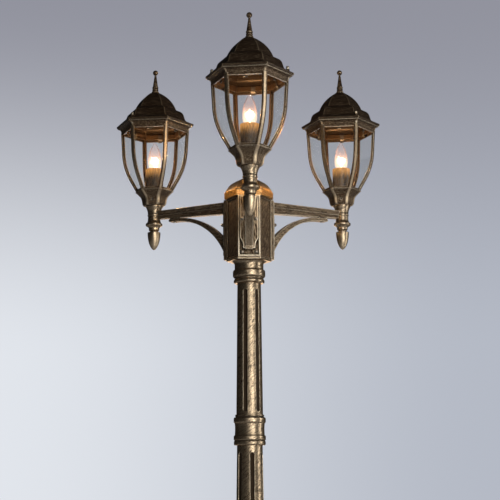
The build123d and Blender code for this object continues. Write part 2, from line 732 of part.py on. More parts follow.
def hub_cap():
    """Domed six-sided lid with a skirt that drops inside the hub."""
    skirt = HUB_APOTHEM - HUB_WALL - FIT_CLEARANCE
    dome = [
        (CAP_TOP_APOTHEM, CAP_HEIGHT),
        (CAP_CROWN_APOTHEM, CAP_HEIGHT - CAP_CROWN_DROP, CAP_CROWN_SWEEP),
        (CAP_BROW_APOTHEM, CAP_HEIGHT - CAP_BROW_DROP, CAP_BROW_SWEEP),
        (CAP_APOTHEM - CAP_FOOT_INSET, CAP_BAND + 3 * MOULDING_STEP, CAP_FOOT_SWEEP),
    ]
    lid = hexed(
        (0, CAP_HEIGHT),
        *dome,
        (CAP_APOTHEM - CAP_FOOT_INSET, CAP_BAND),
        (CAP_APOTHEM, CAP_BAND, MOULDING_STEP / 2),
        (CAP_APOTHEM, 0),
        (skirt, 0),
        (skirt, -CAP_SKIRT_DEPTH),
        (0, -CAP_SKIRT_DEPTH),
    )
    mouth = skirt - CAP_SKIRT_WALL
    lid -= hexed(
        (0, CAP_HEIGHT - CAP_WALL),
        *inset(dome, CAP_WALL),
        (CAP_APOTHEM - CAP_FOOT_INSET - CAP_WALL, CAP_WALL),
        (mouth, CAP_WALL),
        (mouth, -CAP_SKIRT_DEPTH - CUT_OVER),
        (0, -CAP_SKIRT_DEPTH - CUT_OVER),
    )
    lid -= rod(ROD_HOLE_RADIUS, 0, CAP_HEIGHT + CUT_OVER)
    return Pos(0, 0, HUB_TOP) * Rot(0, 0, HEX_STEP / 2) * lid


def hub_cap_nut():
    """Acorn nut on the tie rod's end, which holds the cap down."""
    nut = turned(
        (0, CAP_NUT_HEIGHT),
        (CAP_NUT_DOME_RADIUS, CAP_NUT_HEIGHT, CAP_NUT_DOME_ROUND),
        (CAP_NUT_RADIUS - 2 * MOULDING_STEP, CAP_NUT_FLANGE + MOULDING_STEP),
        (CAP_NUT_RADIUS, CAP_NUT_FLANGE, MOULDING_STEP),
        (CAP_NUT_RADIUS, 0),
        (0, 0),
    )
    nut -= rod(ROD_RADIUS + SCREW_CLEARANCE, -CUT_OVER, ROD_PROUD + FIT_CLEARANCE)
    return Pos(0, 0, HUB_TOP + CAP_HEIGHT) * nut


def tie_rod_foot():
    """Level of the tie rod's lower end, below its nut under the base's web."""
    return BASE_HEIGHT - SOCKET_DEPTH - BASE_WEB - NUT_HEIGHT - ROD_PROUD / 2


def tie_rod():
    """Rod that clamps the whole post from the base's web to the hub's floor and carries the cap's nut."""
    return rod(ROD_RADIUS, tie_rod_foot(), HUB_TOP + CAP_HEIGHT + ROD_PROUD)


def tie_rod_nuts():
    """Nut under the base's web and nut on the hub's floor."""
    nut = hexed((0, NUT_HEIGHT), (NUT_APOTHEM, NUT_HEIGHT), (NUT_APOTHEM, 0), (0, 0))
    nut -= rod(ROD_RADIUS + SCREW_CLEARANCE, -CUT_OVER, NUT_HEIGHT + CUT_OVER)
    nut = Rot(0, 0, HEX_STEP / 2) * nut
    web_foot = BASE_HEIGHT - SOCKET_DEPTH - BASE_WEB
    return [Pos(0, 0, web_foot - NUT_HEIGHT) * nut, Pos(0, 0, HUB_LEVEL + HUB_FLOOR) * nut]


def terminal_block():
    """Ring of terminals round the tie rod on the hub's floor."""
    block = turned(
        (0, TERMINAL_HEIGHT),
        (TERMINAL_RADIUS, TERMINAL_HEIGHT, TERMINAL_ROUND),
        (TERMINAL_RADIUS, 0),
        (0, 0),
    )
    block -= rod(TERMINAL_BORE_RADIUS, -CUT_OVER, TERMINAL_HEIGHT + CUT_OVER)
    block -= Pos(0, CABLE_HOLE_OFFSET, 0) * rod(CABLE_HOLE_RADIUS, -CUT_OVER, TERMINAL_HEIGHT + CUT_OVER)
    return Pos(0, 0, HUB_LEVEL + HUB_FLOOR) * block


def lead():
    """One lead in its arm's frame: up from the terminals, along the arm and up the neck into the holder."""
    end = SEAT_LEVEL + HOLDER_LEVEL + HOLDER_SCREW_GRIP
    route = [
        (LEAD_START, HUB_LEVEL + HUB_FLOOR + TERMINAL_HEIGHT),
        (LEAD_START, LEAD_LEVEL, LEAD_HUB_BEND),
        (ARM_REACH, LEAD_LEVEL, LEAD_NECK_BEND),
        (ARM_REACH, end),
    ]
    path = Wire.combine(outline(route))[0]
    section = Plane(origin=(LEAD_START, 0, route[0][1])) * Circle(LEAD_RADIUS)
    return sweep(section, path=path)


def neck_blank():
    """A neck's outer form, with its seat for the cup at level 0."""
    step = MOULDING_STEP
    band_top = -NECK_WAIST_DROP - 2 * step
    band_foot = band_top - NECK_BAND_HEIGHT
    ring_foot = -NECK_RING_DROP - NECK_RING_HEIGHT
    return turned(
        (0, 0),
        (NECK_FLANGE_RADIUS, 0, step),
        (NECK_FLANGE_RADIUS, -NECK_FLANGE, step),
        (NECK_FLANGE_RADIUS - step, -NECK_FLANGE - step),
        (NECK_WAIST_RADIUS, -NECK_SWEEP_DROP, NECK_WAIST_SWEEP),
        (NECK_WAIST_RADIUS, -NECK_WAIST_DROP),
        (NECK_GROOVE_RADIUS, -NECK_WAIST_DROP - step),
        (NECK_GROOVE_RADIUS, band_top - step / 2),
        (NECK_BAND_RADIUS, band_top - step, NECK_BAND_ROUND),
        (NECK_BAND_RADIUS, band_foot, NECK_BAND_ROUND),
        (NECK_GROOVE_RADIUS, band_foot - step / 2),
        (NECK_GROOVE_RADIUS + step, -NECK_RING_DROP + 4 * step, NECK_FLARE_SWEEP),
        (NECK_RING_RADIUS - 1.6 * step, -NECK_RING_DROP + 0.8 * step),
        (NECK_RING_RADIUS, -NECK_RING_DROP, NECK_RING_ROUND),
        (NECK_RING_RADIUS, ring_foot, NECK_RING_ROUND),
        (NECK_TAIL_RADIUS + NECK_TAIL_DROP / 2, ring_foot - NECK_TAIL_DROP / 2),
        (NECK_TAIL_RADIUS, ring_foot - NECK_TAIL_DROP, NECK_TAIL_SWEEP),
        (NECK_TAIL_RADIUS, -NECK_LENGTH + NECK_END_DROP),
        (NECK_END_RADIUS, -NECK_LENGTH + 2 * step),
        (NECK_END_RADIUS, -NECK_LENGTH),
        (0, -NECK_LENGTH),
    )


def neck():
    """Turned neck with a spigot for the cup, a hollow for the lead and a threaded hole for the pendant."""
    body = neck_blank()
    body += turned(
        (0, SPIGOT_HEIGHT),
        (SPIGOT_RADIUS, SPIGOT_HEIGHT, SPIGOT_ROUND),
        (SPIGOT_RADIUS, 0),
        (0, 0),
    )
    body -= rod(NECK_CAVITY_RADIUS, -NECK_CAVITY_DROP, SPIGOT_HEIGHT + CUT_OVER)
    stud_top = PENDANT_STUD_LENGTH - NECK_LENGTH
    body -= rod(PENDANT_STUD_RADIUS + SCREW_CLEARANCE, -NECK_LENGTH - CUT_OVER, stud_top)
    lead_drop = LEAD_LEVEL - SEAT_LEVEL
    body -= Pos(0, 0, lead_drop) * bar_along_x(LEAD_BORE_RADIUS, -NECK_RING_RADIUS, 0)
    return Pos(ARM_REACH, 0, SEAT_LEVEL) * body


def pendant():
    """Acorn drop screwed into the neck's lower end."""
    stud_top = PENDANT_STUD_LENGTH - FIT_CLEARANCE
    drop = turned(
        (0, stud_top),
        (PENDANT_STUD_RADIUS, stud_top),
        (PENDANT_STUD_RADIUS, 0),
        (NECK_END_RADIUS, 0),
        (PENDANT_RADIUS - MOULDING_STEP, -1.5 * MOULDING_STEP, 1.5 * MOULDING_STEP),
        (PENDANT_RADIUS, -PENDANT_BROW_DROP, PENDANT_BROW_DROP),
        (PENDANT_BELLY_RADIUS, -PENDANT_BELLY_DROP, PENDANT_BELLY_SWEEP),
        (PENDANT_TOE_RADIUS, -PENDANT_TOE_DROP, PENDANT_TOE_SWEEP),
        (0, -PENDANT_LENGTH),
    )
    return Pos(ARM_REACH, 0, SEAT_LEVEL - NECK_LENGTH) * drop


def arm():
    """Wall plate with a raised rim and shield, and the tapered bracket that runs out to the neck."""
    plate_height = HUB_HEIGHT - 2 * PLATE_MARGIN
    middle = HUB_LEVEL + HUB_HEIGHT / 2
    plate = Box(PLATE_THICKNESS, PLATE_WIDTH, plate_height)
    plate = Pos(HUB_APOTHEM + PLATE_THICKNESS / 2, 0, middle) * plate
    recess_width = PLATE_WIDTH - 2 * PLATE_RIM
    recess_height = plate_height - 2 * PLATE_RIM
    plate -= Pos(RECESS_FACE + PLATE_RECESS, 0, middle) * Box(2 * PLATE_RECESS, recess_width, recess_height)

    half = recess_width / 2 - SHIELD_GAP
    toe = SHIELD_TOE_WIDTH / 2
    shield_top = HUB_LEVEL + HUB_HEIGHT - PLATE_MARGIN - PLATE_RIM - SHIELD_GAP
    right_side = [
        (half, shield_top, SHIELD_ROUND),
        (half, HUB_LEVEL + SHIELD_SHOULDER),
        (toe, HUB_LEVEL + SHIELD_SHOULDER - SHIELD_SHOULDER_DROP, SHIELD_SHOULDER_SWEEP),
        (toe, HUB_LEVEL + SHIELD_TOE),
    ]
    left_side = [(-corner[0], *corner[1:]) for corner in reversed(right_side)]
    shield_face = Face(Wire.combine(outline(right_side + left_side, closed=True, plane=Plane.YZ))[0])
    shield = extrude(shield_face, amount=SHIELD_FACE - RECESS_FACE + CUT_OVER, dir=(1, 0, 0))
    plate += Pos(RECESS_FACE - CUT_OVER, 0, 0) * shield

    rail = ARM_RAIL_WIDTH / 2
    web = ARM_WEB_WIDTH / 2
    bead = ARM_BEAD_WIDTH / 2
    bead_top = ARM_TOP - ARM_RAIL_DEPTH
    right_side = [
        (rail, ARM_TOP, MOULDING_STEP),
        (rail, ARM_TOP - ARM_RAIL_EDGE),
        (web + MOULDING_STEP / 2, bead_top + MOULDING_STEP / 2),
        (bead, bead_top, ARM_BEAD_ROUND),
        (bead, bead_top - ARM_BEAD_HEIGHT, ARM_BEAD_ROUND),
        (web, bead_top - ARM_BEAD_HEIGHT - ARM_BEAD_ROUND),
        (web, ARM_TOP - ARM_ROOT_DEPTH, ARM_FOOT_ROUND),
    ]
    left_side = [(-corner[0], *corner[1:]) for corner in reversed(right_side)]
    section = Face(Wire.combine(outline(right_side + left_side, closed=True, plane=Plane.YZ))[0])
    beam = Pos(RECESS_FACE, 0, 0) * extrude(section, amount=ARM_REACH - RECESS_FACE, dir=(1, 0, 0))
    tip = ARM_REACH - NECK_WAIST_RADIUS
    spare = ARM_ROOT_DEPTH + CUT_OVER
    beam -= strip(
        [
            (SHIELD_FACE, ARM_TOP - ARM_ROOT_DEPTH),
            (tip, ARM_TOP - ARM_TIP_DEPTH),
            (ARM_REACH + CUT_OVER, ARM_TOP - ARM_TIP_DEPTH),
            (ARM_REACH + CUT_OVER, ARM_TOP - spare),
            (SHIELD_FACE, ARM_TOP - spare),
        ],
        2 * ARM_RAIL_WIDTH,
    )
    pad_length = TONGUE_END - TONGUE_START - 2 * TONGUE_MARGIN
    pad_top = ARM_TOP - ARM_TIP_DEPTH + CUT_OVER
    pad_foot = ARM_TOP - TONGUE_DROP
    pad = Pos((TONGUE_START + TONGUE_END) / 2, 0, (pad_top + pad_foot) / 2) * Box(
        pad_length, TONGUE_PAD_WIDTH, pad_top - pad_foot
    )
    bracket = plate + beam + pad
    bracket -= Pos(ARM_REACH, 0, SEAT_LEVEL) * neck_blank()
    bracket -= Pos(0, 0, LEAD_LEVEL) * bar_along_x(LEAD_BORE_RADIUS, HUB_APOTHEM - CUT_OVER, ARM_REACH)
    for cutter in arm_screw_holes():
        bracket -= cutter
    bracket -= tongue_screw_hole(TONGUE_SCREW_GRIP + FIT_CLEARANCE)
    return bracket.solids().sort_by(SortBy.VOLUME)[-1]


def tongue_screw_hole(grip):
    """Cutter for the screw that holds a brace's tongue up to its arm, with its depth into the arm."""
    level = ARM_TOP - TONGUE_DROP
    return Pos(TONGUE_SCREW_REACH, 0, 0) * rod(
        SCREW_RADIUS + SCREW_CLEARANCE, level - TONGUE_THICKNESS - CUT_OVER, level + grip
    )


def brace():
    """Curved bar from the foot of the shield up to a tongue under the arm."""
    foot_face = SHIELD_FACE + BRACE_FOOT_DEPTH
    tongue_foot = ARM_TOP - TONGUE_DROP - TONGUE_THICKNESS
    foot_top = ARM_TOP - BRACE_FOOT_DROP + BRACE_FOOT_HEIGHT
    upper_bend = SHIELD_FACE + BRACE_UPPER_BEND
    lower_bend = SHIELD_FACE + BRACE_LOWER_BEND
    flat = TONGUE_END - 2 * TONGUE_ROUND
    band = strip(
        [
            (SHIELD_FACE, ARM_TOP - BRACE_ROOT_DROP),
            (upper_bend, ARM_TOP - TONGUE_DROP, BRACE_UPPER_SWEEP),
            (flat, ARM_TOP - TONGUE_DROP),
            (TONGUE_END, ARM_TOP - TONGUE_DROP, TONGUE_ROUND / 2),
            (TONGUE_END, tongue_foot, TONGUE_ROUND),
            (flat, tongue_foot),
            (lower_bend, tongue_foot, BRACE_LOWER_SWEEP),
            (foot_face - MOULDING_STEP, foot_top),
            (foot_face, foot_top),
            (foot_face, ARM_TOP - BRACE_FOOT_DROP, BRACE_FOOT_ROUND),
            (SHIELD_FACE, ARM_TOP - BRACE_FOOT_DROP),
        ],
        BRACE_WIDTH,
    )
    return band - tongue_screw_hole(0)


def screw_head():
    """Rounded head of a plate screw, upright on its seat."""
    return turned(
        (0, SCREW_HEAD_HEIGHT),
        (SCREW_HEAD_RADIUS, SCREW_HEAD_HEIGHT, SCREW_HEAD_ROUND),
        (SCREW_HEAD_RADIUS, 0),
        (0, 0),
    )


def arm_screws():
    """All the arms' screws: four through each plate and one up through each tongue."""
    head_seat = ARM_TOP - TONGUE_DROP - TONGUE_THICKNESS
    shank_end = HUB_APOTHEM - HUB_WALL
    screws = []
    for seat, side, level in arm_screw_places():
        screw = bar_along_x(SCREW_RADIUS, shank_end, seat)
        screw += Pos(seat, 0, 0) * Rot(0, 90, 0) * screw_head()
        screws.append(Pos(0, side, level) * screw)
    tongue_screw = rod(SCREW_RADIUS, head_seat, head_seat + TONGUE_THICKNESS + TONGUE_SCREW_GRIP)
    tongue_screw += rod(SCREW_HEAD_RADIUS, head_seat - TONGUE_SCREW_HEAD, head_seat)
    screws.append(Pos(TONGUE_SCREW_REACH, 0, 0) * tongue_screw)
    return [Rot(0, 0, angle) * screw for angle in ARM_ANGLES.values() for screw in screws]


def holder_screw_hole(bottom, top):
    """Cutter for the hollow screw that holds the lampholder down."""
    return rod(HOLDER_SCREW_RADIUS + SCREW_CLEARANCE, bottom, top)


def set_screw_reach():
    """Distances from the lantern's axis between which a set screw lies."""
    return SPIGOT_RADIUS + FIT_CLEARANCE, CUP_FOOT_APOTHEM - SET_SCREW_RECESS


def cup():
    """Six-sided ogee cup that stands on the neck over its spigot and carries the cage on its lip."""
    lip_foot = CUP_HEIGHT - CUP_LIP_THICKNESS
    body = hexed(
        (0, CUP_HEIGHT),
        (CUP_LIP_APOTHEM, CUP_HEIGHT, MOULDING_STEP),
        (CUP_LIP_APOTHEM, lip_foot, MOULDING_STEP),
        (CUP_LIP_APOTHEM - CUP_LIP_INSET, lip_foot - MOULDING_STEP / 2),
        (CUP_FOOT_APOTHEM + CUP_SWEEP_INSET, CUP_SWEEP_LEVEL, CUP_SWEEP),
        (CUP_FOOT_APOTHEM, CUP_BEVEL_HEIGHT),
        (CUP_FOOT_APOTHEM - CUP_BEVEL, 0),
        (0, 0),
    )
    body -= rod(SPIGOT_RADIUS + RUNNING_CLEARANCE, -CUT_OVER, CUP_HEIGHT - CUP_FLOOR)
    body -= holder_screw_hole(0, CUP_HEIGHT + CUT_OVER)
    hole = bar_along_x(SET_SCREW_RADIUS + THREAD_CLEARANCE, SPIGOT_RADIUS - CUT_OVER, CUP_LIP_APOTHEM)
    hole = Pos(0, 0, SET_SCREW_LEVEL) * hole
    for cutter in around(hole, SET_SCREW_FACES):
        body -= cutter
    return body


def cage_line(offset, foot, top):
    """Half section of the cage's faces, moved in by an offset, from a foot level to a top level."""
    lower_slope = (CAGE_BEND_APOTHEM - CAGE_FOOT_APOTHEM) / (CAGE_BEND - CAGE_FOOT)
    upper_slope = (CAGE_TOP_APOTHEM - CAGE_BEND_APOTHEM) / (CORNICE_FOOT - CAGE_BEND)
    return [
        (CAGE_BEND_APOTHEM + upper_slope * (top - CAGE_BEND) - offset, top),
        (CAGE_BEND_APOTHEM - offset, CAGE_BEND, CAGE_BEND_RADIUS),
        (CAGE_FOOT_APOTHEM + lower_slope * (foot - CAGE_FOOT) - offset, foot),
    ]


def rib():
    """One curved rib on the +X hip: a rounded outer flange with a web behind it that parts two panes."""
    top = REBATE_TOP
    line = cage_line(0, CAGE_FOOT - RIB_DEPTH, top + RIB_DEPTH)
    hip = [(x / HIP_COSINE, y, *([r[0] * HIP_COSINE] if r else [])) for x, y, *r in line]
    path = Wire.combine(outline(hip))[0]
    half = RIB_WIDTH / 2
    web = RIB_WEB / 2
    right_side = [(half, 0, RIB_ROUND), (half, -RIB_FLANGE), (web, -RIB_FLANGE), (web, -RIB_DEPTH)]
    left_side = [(-x, y, *r) for x, y, *r in reversed(right_side)]
    start = Vector(hip[0][0], 0, hip[0][1])
    along = Vector(hip[1][0] - hip[0][0], 0, hip[1][1] - hip[0][1])
    across = Plane(origin=start, x_dir=(0, 1, 0), z_dir=along)
    section = Face(Wire.combine(outline(right_side + left_side, closed=True, plane=across))[0])
    bar = sweep(section, path=path)
    reach = 2 * CORNICE_APOTHEM
    span = Pos(0, 0, CAGE_FOOT) * Box(
        2 * reach, reach, top - CAGE_FOOT, align=(Align.CENTER, Align.CENTER, Align.MIN)
    )
    return bar & span


def clip_screw_level():
    """Level of the pane clips' screws."""
    return (REBATE_TOP + CAGE_TOP) / 2 + MOULDING_STEP


def clip_screw_hole(start, end):
    """Cutter for a pane clip's screw between two distances from the lantern's axis."""
    return Pos(0, 0, clip_screw_level()) * bar_along_x(CLIP_SCREW_RADIUS + THREAD_CLEARANCE, start, end)


def cage():
    """Six curved ribs between a foot ring and a coved cornice that the roof stands on."""
    frame = hexed(
        (0, CAGE_TOP),
        (CORNICE_APOTHEM, CAGE_TOP, MOULDING_STEP / 2),
        (CORNICE_APOTHEM, CAGE_TOP - CORNICE_EDGE),
        (CAGE_TOP_APOTHEM + 1.5 * MOULDING_STEP, CAGE_TOP - CORNICE_EDGE - CORNICE_SPLAY, CORNICE_SWEEP),
        (CAGE_TOP_APOTHEM, CAGE_TOP - CORNICE_COVE),
        (CAGE_TOP_APOTHEM, CORNICE_FOOT),
        (0, CORNICE_FOOT),
    )
    lip = CAGE_TOP_APOTHEM - PANE_SETBACK + FIT_CLEARANCE
    frame -= hexed(
        (0, CAGE_TOP + CUT_OVER),
        (RIM_APOTHEM, CAGE_TOP + CUT_OVER),
        (RIM_APOTHEM, REBATE_TOP),
        (lip, REBATE_TOP),
        (lip, CORNICE_FOOT - CUT_OVER),
        (0, CORNICE_FOOT - CUT_OVER),
    )
    ring_top = CAGE_FOOT + FOOT_RING_HEIGHT
    ring = hexed(
        (0, ring_top),
        (CAGE_FOOT_APOTHEM, ring_top),
        (CAGE_FOOT_APOTHEM, CAGE_FOOT),
        (0, CAGE_FOOT),
    )
    ring -= hexed(
        (0, ring_top + CUT_OVER),
        (FOOT_RING_APOTHEM, ring_top + CUT_OVER),
        (FOOT_RING_APOTHEM, CAGE_FOOT - CUT_OVER),
        (0, CAGE_FOOT - CUT_OVER),
    )
    frame += ring
    for piece in around(rib(), hex_corners()):
        frame += piece
    stud_hole = rod(STUD_RADIUS + THREAD_CLEARANCE, CAGE_TOP - STUD_DEPTH, CAGE_TOP + CUT_OVER)
    for cutter in around(Pos(KNOB_OFFSET, 0, 0) * stud_hole, KNOB_CORNERS):
        frame -= cutter
    screw_hole = clip_screw_hole(RIM_APOTHEM - CUT_OVER, RIM_APOTHEM + CLIP_SCREW_LENGTH)
    for cutter in around(screw_hole, hex_faces()):
        frame -= cutter
    return frame


def panes():
    """Six curved panes between the ribs' webs, behind their flanges."""
    foot = CAGE_FOOT + FOOT_RING_HEIGHT
    top = REBATE_TOP - FIT_CLEARANCE
    outer = cage_line(PANE_SETBACK, foot, top)
    inner = cage_line(PANE_SETBACK + PANE_THICKNESS, foot, top)
    sheet = strip(outer + inner[::-1], 2 * CORNICE_APOTHEM)
    apex = PANE_EDGE / math.sin(math.radians(HEX_STEP / 2))
    far = 2 * CORNICE_APOTHEM
    spread = (far - apex) * math.tan(math.radians(HEX_STEP / 2))
    sector = make_face(Polyline((apex, 0), (far, spread), (far, -spread), close=True))
    wedge = extrude(sector, amount=CAGE_TOP)
    return around((sheet & wedge).solid(), hex_faces())


def fixings():
    """Pane clips and their screws, roof studs, set screws and the hollow screw under the lampholder."""
    foot = REBATE_TOP - CLIP_REACH
    pane_face = cage_line(PANE_SETBACK + PANE_THICKNESS, CAGE_FOOT, foot)[0][0] - FIT_CLEARANCE
    hook = pane_face - CLIP_THICKNESS
    back = RIM_APOTHEM - CLIP_THICKNESS
    level = clip_screw_level()
    clip = strip(
        [
            (RIM_APOTHEM, level + CLIP_HEAD_ROOM),
            (back, level + CLIP_HEAD_ROOM),
            (back, REBATE_TOP - MOULDING_STEP),
            (hook, REBATE_TOP - CLIP_CRANK - MOULDING_STEP / 2),
            (hook, foot),
            (pane_face, foot),
            (pane_face, REBATE_TOP - CLIP_CRANK),
            (RIM_APOTHEM, REBATE_TOP - FIT_CLEARANCE),
        ],
        CLIP_WIDTH,
    )
    clip -= clip_screw_hole(back - CUT_OVER, RIM_APOTHEM + CUT_OVER)
    screw = bar_along_x(CLIP_SCREW_RADIUS, back, RIM_APOTHEM + CLIP_SCREW_LENGTH - FIT_CLEARANCE)
    screw += bar_along_x(CLIP_HEAD_RADIUS, back - CLIP_HEAD_HEIGHT, back)
    screw = Pos(0, 0, level) * screw
    stud_top = CAGE_TOP + KNOB_BOSS_LEVEL + STUD_PROUD
    stud = Pos(KNOB_OFFSET, 0, 0) * rod(STUD_RADIUS, CAGE_TOP - STUD_DEPTH, stud_top)
    set_screw = Pos(0, 0, SET_SCREW_LEVEL) * bar_along_x(SET_SCREW_RADIUS, *set_screw_reach())
    plate_foot = CUP_HEIGHT - CUP_FLOOR
    head = hexed(
        (0, plate_foot),
        (HOLDER_SCREW_APOTHEM, plate_foot),
        (HOLDER_SCREW_APOTHEM, plate_foot - HOLDER_SCREW_HEAD),
        (0, plate_foot - HOLDER_SCREW_HEAD),
    )
    hollow_screw = head + rod(HOLDER_SCREW_RADIUS, plate_foot - CUT_OVER, HOLDER_LEVEL + HOLDER_SCREW_GRIP)
    hollow_screw -= rod(HOLDER_SCREW_BORE, 0, CAGE_TOP)
    pieces = around(clip, hex_faces()) + around(screw, hex_faces())
    return pieces + around(stud, KNOB_CORNERS) + around(set_screw, SET_SCREW_FACES) + [hollow_screw]


def lampholder():
    """Ceramic screw holder on a flange that stands on the cup's top."""
    top = HOLDER_LEVEL + HOLDER_HEIGHT
    flange_top = HOLDER_LEVEL + HOLDER_FLANGE
    body = turned(
        (0, top),
        (HOLDER_RADIUS, top, MOULDING_STEP),
        (HOLDER_RADIUS, flange_top),
        (HOLDER_FLANGE_RADIUS, flange_top, MOULDING_STEP),
        (HOLDER_FLANGE_RADIUS, HOLDER_LEVEL),
        (0, HOLDER_LEVEL),
    )
    body -= rod(BULB_CAP_RADIUS + FIT_CLEARANCE, BULB_CAP_FOOT, top + CUT_OVER)
    body -= holder_screw_hole(HOLDER_LEVEL - CUT_OVER, HOLDER_LEVEL + HOLDER_SCREW_GRIP + FIT_CLEARANCE)
    return body


def sleeve():
    """Plain tube round the lampholder, standing on its flange."""
    foot = HOLDER_LEVEL + HOLDER_FLANGE
    top = HOLDER_LEVEL + SLEEVE_TOP
    return rod(SLEEVE_RADIUS, foot, top) - rod(SLEEVE_RADIUS - SLEEVE_WALL, foot - CUT_OVER, top + CUT_OVER)


def bulb_cap():
    """Screw cap with its end contact."""
    top = BULB_GLASS_FOOT
    foot = BULB_CAP_FOOT
    return turned(
        (0, top),
        (BULB_CAP_RADIUS, top),
        (BULB_CAP_RADIUS, foot + BULB_CAP_TAPER, MOULDING_STEP),
        (BULB_INSULATOR_RADIUS, foot + BULB_CONTACT_HEIGHT),
        (BULB_CONTACT_RADIUS, foot + BULB_CONTACT_HEIGHT),
        (BULB_CONTACT_RADIUS, foot),
        (0, foot),
    )


def bulb_glass():
    """Candle-shaped glass, open where it meets the cap."""
    tip = BULB_GLASS_FOOT + BULB_LENGTH
    foot = BULB_GLASS_FOOT
    outside = [
        (BULB_TIP_RADIUS, tip, BULB_TIP_RADIUS),
        (BULB_SHOULDER_RADIUS, foot + BULB_SHOULDER_LEVEL, BULB_SHOULDER_SWEEP),
        (BULB_RADIUS, foot + BULB_BELLY_TOP, BULB_BELLY_SWEEP),
        (BULB_RADIUS, foot + BULB_BELLY_FOOT, BULB_FOOT_SWEEP),
        (BULB_NECK_RADIUS, foot + BULB_NECK_HEIGHT, BULB_NECK_SWEEP),
    ]
    shell = turned((0, tip), *outside, (BULB_NECK_RADIUS, foot), (0, foot))
    mouth = BULB_NECK_RADIUS - BULB_GLASS
    inside = inset(outside, BULB_GLASS)
    return shell - turned((0, tip - BULB_GLASS), *inside, (mouth, foot - CUT_OVER), (0, foot - CUT_OVER))


def roof():
    """Two-tier six-sided roof with a flared brim, hollow inside, with bosses for its two knobs."""
    bell = [
        (ROOF_TOP_APOTHEM, ROOF_HEIGHT),
        (DOME_BROW_APOTHEM, DOME_BROW_LEVEL, DOME_SWEEP),
        (DOME_APOTHEM, DOME_FOOT),
        (STEP_APOTHEM, STEP_LEVEL, STEP_SWEEP),
        (LEDGE_APOTHEM, LEDGE_LEVEL),
        (SKIRT_BROW_APOTHEM, SKIRT_BROW_LEVEL, SKIRT_BROW_SWEEP),
        (SKIRT_APOTHEM, SKIRT_FOOT),
        (FLARE_APOTHEM, FLARE_LEVEL, FLARE_SWEEP),
    ]
    shell = hexed(
        (0, ROOF_HEIGHT),
        *bell,
        (BRIM_APOTHEM, BRIM_LEVEL, BRIM_ROUND),
        (BRIM_APOTHEM - 0.4 * MOULDING_STEP, MOULDING_STEP, BRIM_ROUND / 2),
        (BRIM_APOTHEM - BRIM_BEVEL, 0),
        (0, 0),
    )
    boss = Pos(KNOB_OFFSET, 0, 0) * rod(KNOB_BOSS_RADIUS, BRIM_LEVEL, KNOB_BOSS_LEVEL)
    for piece in around(boss, KNOB_CORNERS):
        shell += piece
    hollow = inset(bell, ROOF_WALL)
    shell -= hexed(
        (0, ROOF_HEIGHT - ROOF_WALL),
        *hollow,
        (ROOF_HOLLOW_APOTHEM, hollow[-1][1] - ROOF_WALL / 2),
        (ROOF_HOLLOW_APOTHEM, -CUT_OVER),
        (0, -CUT_OVER),
    )
    shell -= rod(FINIAL_STUD_RADIUS + SCREW_CLEARANCE, 0, ROOF_HEIGHT + CUT_OVER)
    stud_hole = rod(STUD_RADIUS + FIT_CLEARANCE, -CUT_OVER, KNOB_BOSS_LEVEL + CUT_OVER)
    for cutter in around(Pos(KNOB_OFFSET, 0, 0) * stud_hole, KNOB_CORNERS):
        shell -= cutter
    return Pos(0, 0, CAGE_TOP) * shell


def roof_knobs():
    """Two thumb nuts on the studs at opposite corners of the brim."""
    knob = turned(
        (0, KNOB_HEIGHT),
        (KNOB_CROWN_RADIUS, KNOB_HEIGHT, MOULDING_STEP),
        (KNOB_RADIUS, KNOB_HEIGHT - KNOB_CROWN, MOULDING_STEP),
        (KNOB_RADIUS, KNOB_COLLAR + MOULDING_STEP, MOULDING_STEP),
        (KNOB_COLLAR_RADIUS, KNOB_COLLAR),
        (KNOB_COLLAR_RADIUS, 0),
        (0, 0),
    )
    knob -= rod(STUD_RADIUS + SCREW_CLEARANCE, -CUT_OVER, STUD_PROUD + FIT_CLEARANCE)
    return around(Pos(KNOB_OFFSET, 0, CAGE_TOP + KNOB_BOSS_LEVEL) * knob, KNOB_CORNERS)


def finial():
    """Ringed spire with a ball, on a stud through the roof's top."""
    step = MOULDING_STEP
    spire_top = FINIAL_BALL_LEVEL - 0.9 * FINIAL_BALL_RADIUS
    low_ring_top = FINIAL_LOW_RING_LEVEL + FINIAL_RING_HEIGHT
    high_ring_top = FINIAL_HIGH_RING_LEVEL + FINIAL_RING_HEIGHT
    spire = turned(
        (0, spire_top),
        (FINIAL_TIP_RADIUS, spire_top),
        (FINIAL_TIP_RADIUS, spire_top - 2.5 * step, FINIAL_TIP_SWEEP),
        (FINIAL_SPIRE_RADIUS, high_ring_top + step),
        (FINIAL_RING_RADIUS, high_ring_top, step),
        (FINIAL_RING_RADIUS, FINIAL_HIGH_RING_LEVEL, step),
        (FINIAL_SPIRE_RADIUS, FINIAL_HIGH_RING_LEVEL - step),
        (FINIAL_SPIRE_RADIUS, low_ring_top + step),
        (FINIAL_RING_RADIUS, low_ring_top, step),
        (FINIAL_RING_RADIUS, FINIAL_LOW_RING_LEVEL, step),
        (FINIAL_SPIRE_RADIUS, FINIAL_LOW_RING_LEVEL - step),
        (FINIAL_SPIRE_RADIUS, FINIAL_BASE_HEIGHT + step),
        (FINIAL_BASE_RADIUS, FINIAL_BASE_HEIGHT, step),
        (FINIAL_BASE_RADIUS, 0),
        (FINIAL_STUD_RADIUS, 0),
        (FINIAL_STUD_RADIUS, -FINIAL_STUD_LENGTH),
        (0, -FINIAL_STUD_LENGTH),
    )
    spire += Pos(0, 0, FINIAL_BALL_LEVEL) * Sphere(FINIAL_BALL_RADIUS)
    return Pos(0, 0, CAGE_TOP + ROOF_HEIGHT) * spire


def write(name, *pieces):
    """Write one node's solids to its own file."""
    solids = [solid for piece in pieces for solid in piece.solids()]
    shape = solids[0] if len(solids) == 1 else Compound(children=solids)
    export_step(shape, f"parts/{name}.step")


